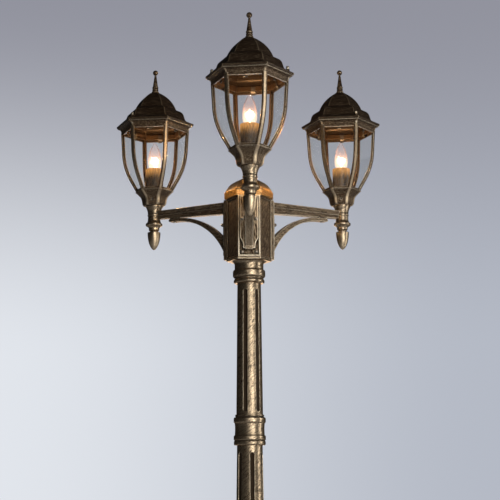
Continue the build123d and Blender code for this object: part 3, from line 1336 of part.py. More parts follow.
def write_post():
    """Write the pieces of the post and the hub."""
    write("base", base())
    lower_radii = LOWER_TOP_RADIUS, LOWER_FOOT_RADIUS
    middle_radii = MIDDLE_TOP_RADIUS, MIDDLE_FOOT_RADIUS
    upper_radii = UPPER_TOP_RADIUS, UPPER_FOOT_RADIUS
    write("lower_shaft", shaft(*lower_radii, BASE_HEIGHT, LOWER_FLUTE_TURN))
    write("middle_shaft", shaft(*middle_radii, MIDDLE_SHAFT_FOOT, MIDDLE_FLUTE_TURN))
    write("upper_shaft", shaft(*upper_radii, UPPER_SHAFT_FOOT, UPPER_FLUTE_TURN))
    lower_bores = foot_socket(*middle_radii), socket_radius(LOWER_TOP_RADIUS)
    middle_bores = foot_socket(*upper_radii), socket_radius(MIDDLE_TOP_RADIUS)
    write("lower_collar", collar(MIDDLE_FOOT_RADIUS, *lower_bores, LOWER_COLLAR_FOOT))
    write("middle_collar", collar(UPPER_FOOT_RADIUS, *middle_bores, MIDDLE_COLLAR_FOOT))
    write("post_head", post_head())
    write("hub_body", hub_body())
    write("hub_cap", hub_cap())
    write("hub_cap_nut", hub_cap_nut())
    write("tie_rod", tie_rod())
    write("tie_rod_nuts", *tie_rod_nuts())
    write("terminal_block", terminal_block())
    write("lantern_leads", *around(lead(), ARM_ANGLES.values()))
    write("arm_screws", *arm_screws())


def write_arms():
    """Write each arm with its brace, neck and pendant."""
    makers = {"arm": arm, "brace": brace, "neck": neck, "pendant": pendant}
    for name, maker in makers.items():
        piece = maker()
        for side, angle in ARM_ANGLES.items():
            write(f"{side}_{name}", Rot(0, 0, angle) * piece)


def write_lanterns():
    """Write each lantern's pieces, turned on its neck."""
    makers = {
        "cup": cup,
        "cage": cage,
        "panes": panes,
        "fixings": fixings,
        "lampholder": lampholder,
        "sleeve": sleeve,
        "bulb_cap": bulb_cap,
        "bulb_glass": bulb_glass,
        "roof": roof,
        "roof_knobs": roof_knobs,
        "finial": finial,
    }
    stand = Pos(ARM_REACH, 0, SEAT_LEVEL) * Rot(0, 0, LANTERN_TURN)
    for name, maker in makers.items():
        made = maker()
        pieces = made if isinstance(made, list) else [made]
        for side, angle in ARM_ANGLES.items():
            write(f"{side}_{name}", *[Rot(0, 0, angle) * stand * piece for piece in pieces])


os.makedirs("parts", exist_ok=True)
write_post()
write_arms()
write_lanterns()
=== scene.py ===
"""Dresses the park light: antique finish, clear panes, lit candle bulbs, and the studio round it."""

from __future__ import annotations

import json
import logging
import math
from collections.abc import Iterable
from dataclasses import dataclass
from enum import Enum
from functools import cached_property

import bmesh
import bpy
from mathutils import Matrix, Vector

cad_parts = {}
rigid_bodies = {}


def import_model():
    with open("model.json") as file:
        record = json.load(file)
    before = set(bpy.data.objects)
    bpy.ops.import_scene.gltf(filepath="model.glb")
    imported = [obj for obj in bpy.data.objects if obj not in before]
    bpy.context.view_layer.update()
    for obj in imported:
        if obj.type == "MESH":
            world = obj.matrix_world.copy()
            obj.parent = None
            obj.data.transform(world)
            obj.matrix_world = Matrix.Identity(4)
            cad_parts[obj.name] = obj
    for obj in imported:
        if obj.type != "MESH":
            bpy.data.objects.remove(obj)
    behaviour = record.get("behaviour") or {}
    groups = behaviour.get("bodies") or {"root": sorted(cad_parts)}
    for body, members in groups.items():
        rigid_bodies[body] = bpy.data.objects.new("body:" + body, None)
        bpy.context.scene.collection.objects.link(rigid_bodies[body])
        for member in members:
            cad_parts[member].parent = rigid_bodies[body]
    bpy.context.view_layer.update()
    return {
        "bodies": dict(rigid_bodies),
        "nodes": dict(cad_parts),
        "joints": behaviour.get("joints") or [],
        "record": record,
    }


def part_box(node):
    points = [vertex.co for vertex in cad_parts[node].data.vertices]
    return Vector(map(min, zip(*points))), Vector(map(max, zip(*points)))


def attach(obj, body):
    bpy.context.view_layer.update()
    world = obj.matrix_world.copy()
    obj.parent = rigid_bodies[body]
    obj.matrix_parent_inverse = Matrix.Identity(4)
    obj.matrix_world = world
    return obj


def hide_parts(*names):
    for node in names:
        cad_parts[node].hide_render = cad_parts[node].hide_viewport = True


Colour = tuple[float, float, float, float]
Point = tuple[float, float, float]
Range = tuple[float, float]

SIDES = ("front", "right", "left")
HEX_SIDES = 6
HEX_STEP = math.radians(60)
LANTERN_TURN = math.radians(-7.6)
LEVEL_TOLERANCE = 1e-4
MERGE_DISTANCE = 1e-6
ORIGIN: Point = (0.0, 0.0, 0.0)

NOISE_MIDDLE = 0.5
LOW_DETAIL = 2.0

BLACK: Colour = (0.0, 0.0, 0.0, 1.0)
DARK_BROWN: Colour = (0.010, 0.0055, 0.003, 1.0)
WARM_BROWN: Colour = (0.034, 0.0165, 0.0070, 1.0)
ROOF_BROWN: Colour = (0.016, 0.0095, 0.0055, 1.0)
OLD_GOLD: Colour = (0.58, 0.44, 0.28, 1.0)
# Pale gold for edges and grain: partly rubbed bright metal, and partly a painted highlight
PALE_GOLD_AND_HIGHLIGHT: Colour = (0.90, 0.79, 0.60, 1.0)
# Gold tinted orange as painted lamplight, for the hub cap under the lanterns
GOLD_WITH_PAINTED_LAMPLIGHT: Colour = (0.62, 0.36, 0.13, 1.0)
BROWN_TINT: Colour = (0.80, 0.55, 0.35, 1.0)
LAMP_WARM: Colour = (1.0, 0.68, 0.38, 1.0)

log = logging.getLogger("park_light")


class Stroke(Enum):
    """Which way the gold was brushed over a piece."""

    HELIX = "round the piece and upwards"
    LEVEL = "round the piece"
    ALONG = "along the piece's own X axis"


@dataclass(frozen=True)
class Place:
    """Where a pattern is centred, and how far it is turned about the upright axis."""

    centre: Point = ORIGIN
    turn: float = 0.0


@dataclass(frozen=True)
class Cone:
    """A tapered shaft's outer surface: the level and radius of its foot, and those of its head."""

    foot: float
    foot_radius: float
    head: float
    head_radius: float


class Value:
    """A shader socket that takes part in Python expressions."""

    def __init__(self, graph: Graph, socket: bpy.types.NodeSocket) -> None:
        """Keeps the socket and the graph that new nodes go to."""
        self.graph = graph
        self.socket = socket

    def maths(self, operation: str, *others: Value | float) -> Value:
        """Adds a Math node that takes this value first."""
        feeds = dict(enumerate((self, *others)))
        return self.graph.value("ShaderNodeMath", {"operation": operation}, feeds)

    def __add__(self, other: Value | float) -> Value:
        """Sum."""
        return self.maths("ADD", other)

    __radd__ = __add__

    def __mul__(self, other: Value | float) -> Value:
        """Product."""
        return self.maths("MULTIPLY", other)

    __rmul__ = __mul__

    def __sub__(self, other: Value | float) -> Value:
        """Difference."""
        return self.maths("SUBTRACT", other)

    def __rsub__(self, other: float) -> Value:
        """Difference from a number."""
        return self * -1.0 + other

    def __truediv__(self, other: Value | float) -> Value:
        """Quotient."""
        return self.maths("DIVIDE", other)

    def __pow__(self, power: float) -> Value:
        """Power."""
        return self.maths("POWER", power)

    def __abs__(self) -> Value:
        """Size without its sign."""
        return self.maths("ABSOLUTE")

    def clamp(self) -> Value:
        """The value kept between 0 and 1."""
        return self.graph.value("ShaderNodeClamp", {}, {"Value": self})

    def fraction(self) -> Value:
        """What is left above the whole number below."""
        return self.maths("FRACT")

    def most(self, other: Value | float) -> Value:
        """The larger of two values."""
        return self.maths("MAXIMUM", other)

    def ease(self, low: float, high: float, first: float = 0.0, last: float = 1.0) -> Value:
        """Goes smoothly from first to last while the value goes from low to high."""
        sockets = {"Value": self, "From Min": low, "From Max": high, "To Min": first, "To Max": last}
        return self.graph.value("ShaderNodeMapRange", {"interpolation_type": "SMOOTHSTEP"}, sockets)


class Graph:
    """A node tree that is built up from nothing."""

    def __init__(self, tree: bpy.types.NodeTree, place: Place = Place()) -> None:
        """Empties the tree, and keeps where its patterns are centred."""
        tree.nodes.clear()
        self.tree = tree
        self.place = place

    def node(
        self,
        kind: str,
        settings: dict[str, object] | None = None,
        sockets: dict[str | int, object] | None = None,
    ) -> bpy.types.Node:
        """Adds a node.

        Args:
            kind: The node's type.
            settings: The node's own properties, set before its sockets.
            sockets: Values, sockets or plain numbers for its inputs, by name or place.

        Returns:
            The new node.
        """
        made = self.tree.nodes.new(kind)
        for name, setting in (settings or {}).items():
            setattr(made, name, setting)
        for key, feed in (sockets or {}).items():
            if isinstance(feed, Value):
                feed = feed.socket
            if isinstance(feed, bpy.types.NodeSocket):
                self.tree.links.new(feed, made.inputs[key])
            else:
                made.inputs[key].default_value = feed
        return made

    def value(
        self,
        kind: str,
        settings: dict[str, object] | None = None,
        sockets: dict[str | int, object] | None = None,
        output: str | int = 0,
    ) -> Value:
        """Adds a node and wraps one of its outputs, given by name or place."""
        return Value(self, self.node(kind, settings, sockets).outputs[output])

    def blend(self, factor: Value, first: Value | Colour, second: Value | Colour) -> Value:
        """Mixes two colours: all of the first at a factor of 0, and all of the second at 1."""
        return self.value("ShaderNodeMix", {"data_type": "RGBA"}, {0: factor, 6: first, 7: second}, 2)

    def times(self, vector: Value, factors: Point) -> Value:
        """Multiplies a vector by factors along its axes."""
        return self.value("ShaderNodeVectorMath", {"operation": "MULTIPLY"}, {0: vector, 1: factors})

    def noise(self, vector: Value, scale: float = 1.0, detail: float = 3.0) -> Value:
        """A noise between 0 and 1."""
        return self.value("ShaderNodeTexNoise", {}, {"Vector": vector, "Scale": scale, "Detail": detail})

    def placed(self, output: str, centre: Point) -> Value:
        """Coordinates on the piece, turned as its place says.

        Args:
            output: Which of the piece's coordinates.
            centre: Where they are counted from.

        Returns:
            The turned coordinates.
        """
        coordinates = self.value("ShaderNodeTexCoord", output=output)
        sockets = {"Vector": coordinates, "Location": centre, "Rotation": (0.0, 0.0, self.place.turn)}
        return self.value("ShaderNodeMapping", {"vector_type": "TEXTURE"}, sockets)

    def parts(self, vector: Value) -> tuple[Value, Value, Value]:
        """A vector's three numbers."""
        split = self.node("ShaderNodeSeparateXYZ", {}, {0: vector})
        return tuple(Value(self, output) for output in split.outputs)

    @cached_property
    def local(self) -> Value:
        """The piece's own coordinates."""
        return self.placed("Object", self.place.centre)

    @cached_property
    def height(self) -> Value:
        """The height of a point on the piece."""
        return self.parts(self.local)[2]

    @cached_property
    def radius(self) -> Value:
        """How far a point is from the piece's upright axis."""
        across, deep, _ = self.parts(self.local)
        return (across * across + deep * deep) ** 0.5

    def bump(
        self, height: Value, strength: float, distance: float, normal: Value | None = None
    ) -> Value:
        """A normal that follows a height.

        Args:
            height: The height of each point.
            strength: How much of it shows.
            distance: The relief that a height of 1 has.
            normal: The normal to start from, if it isn't the surface's own.

        Returns:
            The new normal.
        """
        sockets = {"Strength": strength, "Distance": distance, "Height": height}
        if normal:
            sockets["Normal"] = normal
        return self.value("ShaderNodeBump", {}, sockets)


class Finish:
    """A material that is made once for each place that asks for it."""

    name: str

    def build(self, place: Place = Place()) -> bpy.types.Material:
        """Makes the material.

        Args:
            place: Where its pattern is centred.

        Returns:
            The finished material.
        """
        material = bpy.data.materials.new(self.name)
        material.use_nodes = True
        graph = Graph(material.node_tree, place)
        graph.node("ShaderNodeOutputMaterial", {}, {"Surface": self.surface(graph)})
        return material

    def surface(self, graph: Graph) -> bpy.types.NodeSocket:
        """The shader that the material shows."""
        raise NotImplementedError

    def principled(self, graph: Graph, sockets: dict[str, object]) -> bpy.types.NodeSocket:
        """The main shader with its inputs set."""
        return graph.node("ShaderNodeBsdfPrincipled", {}, sockets).outputs[0]


@dataclass(frozen=True)
class Patina:
    """How paint and gold break up, the same on every casting. Scales count features to the metre."""

    # Brush marks: broad and fine ones together, and upright ones on an arm's wall plate
    broad: float = 0.75
    fine: float = 0.66
    fine_scale: float = 2.7
    mark_shift: float = 0.205
    plate_marks: Point = (420.0, 420.0, 60.0)
    plate_shift: float = 0.05
    plate_edge: float = 0.002

    # Gold on open faces: marks that rise above the bare level, in patches, with specks of paint
    bare: float = 0.62
    bare_fall: float = 0.22
    hatch_below: float = 0.07
    hatch_above: float = 0.08
    leaf_least: float = 0.2
    patch_scale: float = 30.0
    patch_range: Range = (0.34, 0.60)
    patch_least: float = 0.75
    speck_scale: float = 330.0
    speck_range: Range = (0.32, 0.56)

    # Gold on edges and corners, and the want of it in recesses and on inner walls; recess paint is
    # darkened as painted shade, and a shaded top loses gold as painted shade
    probes: int = 6
    edge_range: Range = (0.12, 0.42)
    rub_range: Range = (0.34, 0.54)
    rub_least: float = 0.4
    recess_start: float = 0.18
    recess_loss: float = 0.97
    flute_range: Range = (0.0006, 0.0018)
    # Share of gold left at a shaded top, where painted shade takes it away
    shaded_top_least: float = 0.05
    upward: float = 0.35
    wall_range: Range = (-0.12, 0.12)

    # Shades of the paint and of the gold; the pale gold on edges and grain is partly a painted highlight
    paint_patches: Range = (0.3, 0.75)
    paint_marks: Range = (0.42, 0.62)
    pale_edge: float = 0.7
    pale_grain: float = 0.3
    pale_range: Range = (0.45, 0.8)

    # Gloss and relief
    grain_scale: float = 1100.0
    grain_rough: float = 0.12
    inner_polish: float = 0.12
    gold_polish: float = 0.12
    recess_rough: float = 0.38
    metal_range: Range = (0.04, 0.4)
    specular: float = 0.3
    mark_relief: float = 0.6
    grain_relief: float = 0.4
    relief: float = 0.5
    relief_depth: float = 0.0006


@dataclass(frozen=True)
class AntiqueFinish(Finish):
    """Brown-black paint on a casting, dry-brushed with gold on its edges and raised faces.

    Coverage, ground, edge, hips and speckle are amounts of gold from 0 to 1: on open faces, between two
    marks of the brush, on edges, on a six-sided piece's corners, and lost at a speck of paint. Across and
    along count the marks to the metre, and twist is how far they turn in a metre, in radians. Shaded top
    holds the levels between which the gold fades into painted shade, cone is what a shaft's flutes are
    cut into, plate is where an arm's wall plate ends, and a hollow piece has no gold on its inner walls.
    Recesses lose their gold and get painted shade, and the pale gold is partly a painted highlight.
    """

    name: str
    stroke: Stroke
    coverage: float = 0.6
    ground: float = 0.0
    edge: float = 1.0
    hips: float = 0.0
    hip_width: float = 0.0012
    twist: float = -30.0
    across: float = 470.0
    along: float = 75.0
    edge_width: float = 0.0022
    edge_round: float = 0.0013
    recess_width: float = 0.008
    recess_reach: float = 0.34
    speckle: float = 0.55
    rough: float = 0.46
    tone: Colour = OLD_GOLD
    paint: Colour = WARM_BROWN
    shaded_top: Range | None = None
    cone: Cone | None = None
    plate: float = 0.0
    hollow: bool = False
    patina: Patina = Patina()

    def brush_marks(self, graph: Graph) -> Value:
        """Fine marks about between 0 and 1, drawn out along the brush.

        Args:
            graph: The material's nodes.

        Returns:
            The marks.
        """
        patina = self.patina
        factors = {
            Stroke.HELIX: (self.across, self.across, self.along),
            Stroke.LEVEL: (self.along, self.along, self.across),
            Stroke.ALONG: (self.along, self.across, self.across),
        }
        drawn = graph.local
        if self.stroke is Stroke.HELIX:
            sockets = {"Vector": graph.local, "Angle": graph.height * self.twist}
            drawn = graph.value("ShaderNodeVectorRotate", {"rotation_type": "Z_AXIS"}, sockets)
        scaled = graph.times(drawn, factors[self.stroke])
        fine = graph.noise(scaled, patina.fine_scale) * patina.fine
        marks = graph.noise(scaled) * patina.broad + fine - patina.mark_shift
        if self.plate:
            upright = graph.noise(graph.times(graph.local, patina.plate_marks)) + patina.plate_shift
            beyond = graph.parts(graph.local)[0].ease(self.plate, self.plate + patina.plate_edge)
            marks = upright + (marks - upright) * beyond
        return marks

    def closed_in(self, graph: Graph, inside: bool, distance: float) -> Value:
        """How closed in a point is, looking into the metal for edges or out of it for recesses."""
        settings = {"samples": self.patina.probes, "inside": inside, "only_local": True}
        return 1.0 - graph.value("ShaderNodeAmbientOcclusion", settings, {"Distance": distance}, "AO")

    def hip_lines(self, graph: Graph) -> Value:
        """Thin lines along a six-sided piece's corners.

        Args:
            graph: The material's nodes.

        Returns:
            1 on the lines, and 0 away from them.
        """
        across, deep, _ = graph.parts(graph.local)
        turn = deep.maths("ARCTAN2", across)
        from_hip = abs((turn * (1 / HEX_STEP) + HEX_SIDES).fraction() - 0.5)
        distance = from_hip * graph.radius * HEX_STEP
        return distance.ease(0.5 * self.hip_width, 1.5 * self.hip_width, 1.0, 0.0)

    def sunk(self, graph: Graph) -> Value:
        """Finds the flutes of a tapered shaft.

        Args:
            graph: The material's nodes.

        Returns:
            1 in the flutes, and 0 on the lands between them.
        """
        cone = self.cone
        taper = (cone.head_radius - cone.foot_radius) / (cone.head - cone.foot)
        land = (graph.height - cone.foot) * taper + cone.foot_radius
        return (land - graph.radius).ease(*self.patina.flute_range)

    def outward(self, graph: Graph) -> Value:
        """Tells a hollow piece's outer faces from its inner walls.

        Args:
            graph: The material's nodes.

        Returns:
            1 on faces that look away from the axis, and 0 on inner walls.
        """
        turned = graph.placed("Normal", ORIGIN)
        level = graph.times(graph.local, (1.0, 1.0, 0.0))
        radial = graph.value("ShaderNodeVectorMath", {"operation": "NORMALIZE"}, {0: level})
        sockets = {0: radial, 1: turned}
        facing = graph.value("ShaderNodeVectorMath", {"operation": "DOT_PRODUCT"}, sockets, "Value")
        return (facing + graph.parts(turned)[2] * self.patina.upward).ease(*self.patina.wall_range)

    def brushed_gold(self, graph: Graph, marks: Value, patches: Value) -> Value:
        """Gold that the brush leaves on open faces.

        Args:
            graph: The material's nodes.
            marks: The brush marks.
            patches: A noise that thins the gold here and there.

        Returns:
            How much gold there is.
        """
        patina = self.patina
        bare = patina.bare - patina.bare_fall * self.coverage
        full = patina.leaf_least + (1.0 - patina.leaf_least) * self.coverage
        hatch = marks.ease(bare - patina.hatch_below, bare + patina.hatch_above, self.ground, full)
        specks = graph.noise(graph.local, patina.speck_scale, LOW_DETAIL)
        thinned = hatch * patches.ease(*patina.patch_range, patina.patch_least, 1.0)
        return thinned * specks.ease(*patina.speck_range, 1.0 - self.speckle, 1.0)

    def surface(self, graph: Graph) -> bpy.types.NodeSocket:
        """Paint and gold, with cast grain and brush marks in relief, painted shade in recesses and on a
        shaded top, and pale gold that is partly a painted highlight.

        Args:
            graph: The material's nodes.

        Returns:
            The shader.
        """
        patina = self.patina
        marks = self.brush_marks(graph)
        patches = graph.noise(graph.local, patina.patch_scale)
        grain = graph.noise(graph.local, patina.grain_scale, LOW_DETAIL)
        edge = self.closed_in(graph, True, self.edge_width).ease(*patina.edge_range) * self.edge
        # Occlusion finds recesses and flutes: the dry brush leaves them bare of gold, and their paint is
        # darkened as painted shade
        closed = self.closed_in(graph, False, self.recess_width)
        recess_bare_and_shaded = closed.ease(patina.recess_start * self.recess_reach, self.recess_reach)
        if self.cone:
            recess_bare_and_shaded = recess_bare_and_shaded.most(self.sunk(graph))
        brushed = self.brushed_gold(graph, marks, patches)
        rubbed = edge
        if self.hips:
            rubbed = rubbed.most(self.hip_lines(graph) * self.hips)
        rubbed = rubbed * marks.ease(*patina.rub_range, patina.rub_least, 1.0)
        gold = brushed.most(rubbed) * (1.0 - recess_bare_and_shaded * patina.recess_loss)
        # Painted shade: the gold fades away towards the top between the shaded top's levels
        if self.shaded_top:
            gold = gold * graph.height.ease(*self.shaded_top, 1.0, patina.shaded_top_least)
        roughness = self.rough + (grain - NOISE_MIDDLE) * patina.grain_rough
        if self.hollow:
            outer = self.outward(graph)
            gold = gold * outer
            roughness = roughness - (1.0 - outer) * patina.inner_polish
        patched = patches.ease(*patina.paint_patches, last=0.5)
        streaked = patched + marks.ease(*patina.paint_marks, last=0.5)
        # Painted shade: the paint goes to the darkest brown in recesses
        paint = graph.blend(streaked * (1.0 - recess_bare_and_shaded), DARK_BROWN, self.paint)
        # Pale gold on edges and grain, partly rubbed bright metal and partly a painted highlight
        pale = edge * patina.pale_edge + grain.ease(*patina.pale_range) * patina.pale_grain
        relief = marks * patina.mark_relief + grain * patina.grain_relief
        rounded = graph.value("ShaderNodeBevel", {"samples": patina.probes}, {"Radius": self.edge_round})
        return self.principled(graph, {
            "Base Color": graph.blend(gold, paint, graph.blend(pale, self.tone, PALE_GOLD_AND_HIGHLIGHT)),
            "Metallic": gold.ease(*patina.metal_range),
            "Roughness": roughness - gold * patina.gold_polish + recess_bare_and_shaded * patina.recess_rough,
            "Specular IOR Level": patina.specular,
            "Specular Tint": BROWN_TINT,
            "Normal": graph.bump(relief, patina.relief, patina.relief_depth, rounded),
        })


@dataclass(frozen=True)
class SleeveFinish(Finish):
    """Thin tube with bronze drawn down it in long streaks, and a painted glow near the top where the bulb
    shines on it.
    """

    name: str
    top: float
    # Painted glow: the tube gives off light near its top, though it is no lamp
    glow: Colour = (0.42, 0.19, 0.05, 1.0)
    painted_glow_depth: float = 0.036
    painted_glow_power: float = 1.6
    painted_glow_range: Range = (0.34, 0.64)
    painted_glow_least: float = 0.35
    painted_glow_strength: float = 1.9
    brown: Colour = (0.02, 0.0125, 0.007, 1.0)
    bronze: Colour = (0.16, 0.10, 0.05, 1.0)
    bronze_range: Range = (0.40, 0.62)
    bronze_metallic: float = 0.5
    bronze_polish: float = 0.1
    streaks: Point = (1100.0, 1100.0, 70.0)
    grain_scale: float = 800.0
    rough: float = 0.5
    grain_rough: float = 0.2
    grain_relief: float = 0.4
    relief: float = 0.3
    relief_depth: float = 0.0006

    def surface(self, graph: Graph) -> bpy.types.NodeSocket:
        """Upright streaks of bronze over brown, with a painted glow at the top that stands in for the
        bulb's light.

        Args:
            graph: The material's nodes.

        Returns:
            The shader.
        """
        streaks = graph.noise(graph.times(graph.local, self.streaks))
        grain = graph.noise(graph.local, self.grain_scale, LOW_DETAIL)
        bronze = streaks.ease(*self.bronze_range)
        # The painted glow fades down from the top, broken by the streaks
        below = (self.top - graph.height) / self.painted_glow_depth
        painted_glow_fade = below.ease(0.0, 1.0, 1.0, 0.0) ** self.painted_glow_power
        shine = painted_glow_fade * streaks.ease(*self.painted_glow_range, self.painted_glow_least, 1.0)
        uneven = (grain - NOISE_MIDDLE) * self.grain_rough
        return self.principled(graph, {
            "Base Color": graph.blend(bronze, self.brown, self.bronze),
            "Metallic": bronze * self.bronze_metallic,
            "Roughness": self.rough - bronze * self.bronze_polish + uneven,
            "Normal": graph.bump(streaks + grain * self.grain_relief, self.relief, self.relief_depth),
            "Emission Color": graph.blend(shine, BLACK, self.glow),
            "Emission Strength": self.painted_glow_strength,
        })


@dataclass(frozen=True)
class PaneFinish(Finish):
    """Clear glass sheet that lets the lamps through."""

    name: str = "pane_glass"
    tint: Colour = (0.985, 0.988, 0.982, 1.0)
    mirror: Colour = (0.42, 0.44, 0.46, 1.0)
    slant: float = 0.10
    sheen: float = 0.16
    sheen_least: float = 0.02
    smears: Point = (40.0, 40.0, 12.0)
    smear_range: Range = (0.35, 0.75)
    rough_range: Range = (0.03, 0.12)
    ripple: float = 0.04
    ripple_depth: float = 0.002

    def surface(self, graph: Graph) -> bpy.types.NodeSocket:
        """Clear through the middle, with a grey sheen that grows towards the edge of sight.

        Args:
            graph: The material's nodes.

        Returns:
            The shader.
        """
        smear = graph.noise(graph.times(graph.local, self.smears))
        shine = graph.value("ShaderNodeLayerWeight", {}, {"Blend": self.slant}, "Fresnel")
        clear = graph.node("ShaderNodeBsdfTransparent", {}, {"Color": self.tint}).outputs[0]
        glossy = self.principled(graph, {
            "Base Color": self.mirror,
            "Metallic": 1.0,
            "Roughness": smear.ease(*self.smear_range, *self.rough_range),
            "Normal": graph.bump(smear, self.ripple, self.ripple_depth),
        })
        share = (shine * self.sheen + self.sheen_least).clamp()
        return graph.node("ShaderNodeMixShader", {}, {0: share, 1: clear, 2: glossy}).outputs[0]


@dataclass(frozen=True)
class BulbFinish(Finish):
    """Candle glass, clear at its tip and hazy with light round the filament."""

    name: str
    foot: float
    height: float
    glass: Colour = (0.03, 0.016, 0.012, 1.0)
    glow: Colour = (1.0, 0.62, 0.36, 1.0)
    haze: Colour = (0.50, 0.38, 0.34, 1.0)
    core: Colour = (1.0, 0.80, 0.58, 1.0)
    # Colour of the painted shade along the glass outline
    outline_shade: Colour = (0.07, 0.026, 0.02, 1.0)
    strength: float = 1.5
    lit_range: Range = (0.20, 0.80)
    hot_range: Range = (0.20, 0.58)
    slant: float = 0.5
    inner_power: float = 1.3
    line_range: Range = (0.30, 0.72)
    line_loss: float = 0.85
    streaks: Point = (260.0, 260.0, 14.0)
    streak_range: Range = (0.5, 0.68)
    swirl_scale: float = 60.0
    rough: float = 0.03
    swirl_rough: float = 0.04
    hot_alpha: float = 0.22
    lit_alpha: float = 0.06
    line_alpha: float = 0.25
    streak_alpha: float = 0.12
    least_alpha: float = 0.03

    def surface(self, graph: Graph) -> bpy.types.NodeSocket:
        """A warm haze that fades up the glass, and a thin dark line of painted shade round its outline.

        Args:
            graph: The material's nodes.

        Returns:
            The shader.
        """
        level = (graph.height - self.foot) / self.height
        lit = level.ease(*self.lit_range, 1.0, 0.0)
        hot = level.ease(*self.hot_range, 1.0, 0.0)
        slope = graph.value("ShaderNodeLayerWeight", {}, {"Blend": self.slant}, "Facing")
        inner = (1.0 - slope) ** self.inner_power
        # Painted shade: a dark line where the glass turns away from sight, fainter where the glass is lit
        line = slope.ease(*self.line_range) * (1.0 - lit * self.line_loss)
        swirl = graph.noise(graph.local, self.swirl_scale, LOW_DETAIL)
        drawn = graph.noise(graph.times(graph.local, self.streaks), detail=LOW_DETAIL)
        streak = drawn.ease(*self.streak_range)
        light = hot * self.hot_alpha * inner + lit * self.lit_alpha
        alpha = light + line * self.line_alpha + streak * self.streak_alpha + self.least_alpha
        warm = graph.blend(hot, graph.blend(lit, self.haze, self.glow), self.core)
        return self.principled(graph, {
            "Base Color": self.glass,
            "Roughness": self.rough + swirl * self.swirl_rough,
            "Alpha": alpha.clamp(),
            "Emission Color": graph.blend(line, warm, self.outline_shade),
            "Emission Strength": self.strength,
        })


@dataclass(frozen=True)
class FilamentFinish(Finish):
    """White-hot wire."""

    name: str = "filament"
    metal: Colour = (0.3, 0.25, 0.2, 1.0)
    cool: Colour = (1.0, 0.62, 0.28, 1.0)
    hot: Colour = (1.0, 0.86, 0.62, 1.0)
    strength: float = 4.0
    heat_scale: float = 300.0
    heat_range: Range = (0.2, 0.8)
    rough_range: Range = (0.3, 0.6)

    def surface(self, graph: Graph) -> bpy.types.NodeSocket:
        """Bright wire that is hotter in some places than in others.

        Args:
            graph: The material's nodes.

        Returns:
            The shader.
        """
        heat = graph.noise(graph.local, self.heat_scale, LOW_DETAIL)
        return self.principled(graph, {
            "Base Color": self.metal,
            "Roughness": heat.ease(0.0, 1.0, *self.rough_range),
            "Emission Color": graph.blend(heat.ease(*self.heat_range), self.cool, self.hot),
            "Emission Strength": self.strength,
        })


@dataclass(frozen=True)
class PlainFinish(Finish):
    """A moulded, turned or fired material with fine grain and faint marks."""

    name: str
    colour: Colour
    shade: Colour
    roughness: float
    metallic: float = 0.0
    patch_scale: float = 35.0
    patch_range: Range = (0.3, 0.7)
    patch_rough: float = 0.1
    grain_scale: float = 500.0
    grain_rough: float = 0.2
    relief: float = 0.2
    relief_depth: float = 0.0004

    def surface(self, graph: Graph) -> bpy.types.NodeSocket:
        """Two shades of one colour, broken up by grain.

        Args:
            graph: The material's nodes.

        Returns:
            The shader.
        """
        patches = graph.noise(graph.local, self.patch_scale)
        grain = graph.noise(graph.local, self.grain_scale)
        uneven = (grain - NOISE_MIDDLE) * self.grain_rough
        return self.principled(graph, {
            "Base Color": graph.blend(patches.ease(*self.patch_range), self.shade, self.colour),
            "Metallic": self.metallic,
            "Roughness": self.roughness + uneven + (patches - NOISE_MIDDLE) * self.patch_rough,
            "Normal": graph.bump(grain, self.relief, self.relief_depth),
        })


@dataclass(frozen=True)
class FloorFinish(Finish):
    """Plain pale floor."""

    name: str = "pale_floor"
    dark: Colour = (0.60, 0.62, 0.66, 1.0)
    light: Colour = (0.64, 0.66, 0.70, 1.0)
    mottle_scale: float = 3.0
    rough_range: Range = (0.6, 0.75)

    def surface(self, graph: Graph) -> bpy.types.NodeSocket:
        """Pale grey with a soft mottle.

        Args:
            graph: The material's nodes.

        Returns:
            The shader.
        """
        mottle = graph.noise(graph.local, self.mottle_scale)
        return self.principled(graph, {
            "Base Color": graph.blend(mottle, self.dark, self.light),
            "Roughness": mottle.ease(0.0, 1.0, *self.rough_range),
        })


# Colour, shade and roughness, and how metallic the metals are
FIXING_STEEL = PlainFinish("fixing_steel", (0.42, 0.36, 0.28, 1.0), (0.16, 0.13, 0.1, 1.0), 0.4, 0.9)
CLIP_STEEL = PlainFinish("clip_steel", (0.09, 0.07, 0.05, 1.0), (0.04, 0.03, 0.025, 1.0), 0.5, 0.9)
BULB_BRASS = PlainFinish("bulb_brass", (0.75, 0.6, 0.32, 1.0), (0.6, 0.45, 0.2, 1.0), 0.3, 1.0)
TERMINAL_PLASTIC = PlainFinish("terminal_plastic", (0.8, 0.79, 0.74, 1.0), (0.72, 0.7, 0.64, 1.0), 0.5)
LEAD_RUBBER = PlainFinish("lead_rubber", (0.03, 0.03, 0.03, 1.0), (0.015, 0.015, 0.015, 1.0), 0.55)
HOLDER_CERAMIC = PlainFinish("holder_ceramic", (0.86, 0.84, 0.78, 1.0), (0.8, 0.77, 0.7, 1.0), 0.45)
STEM_GLASS = PlainFinish("stem_glass", (0.9, 0.92, 0.9, 1.0), (0.8, 0.83, 0.82, 1.0), 0.12)


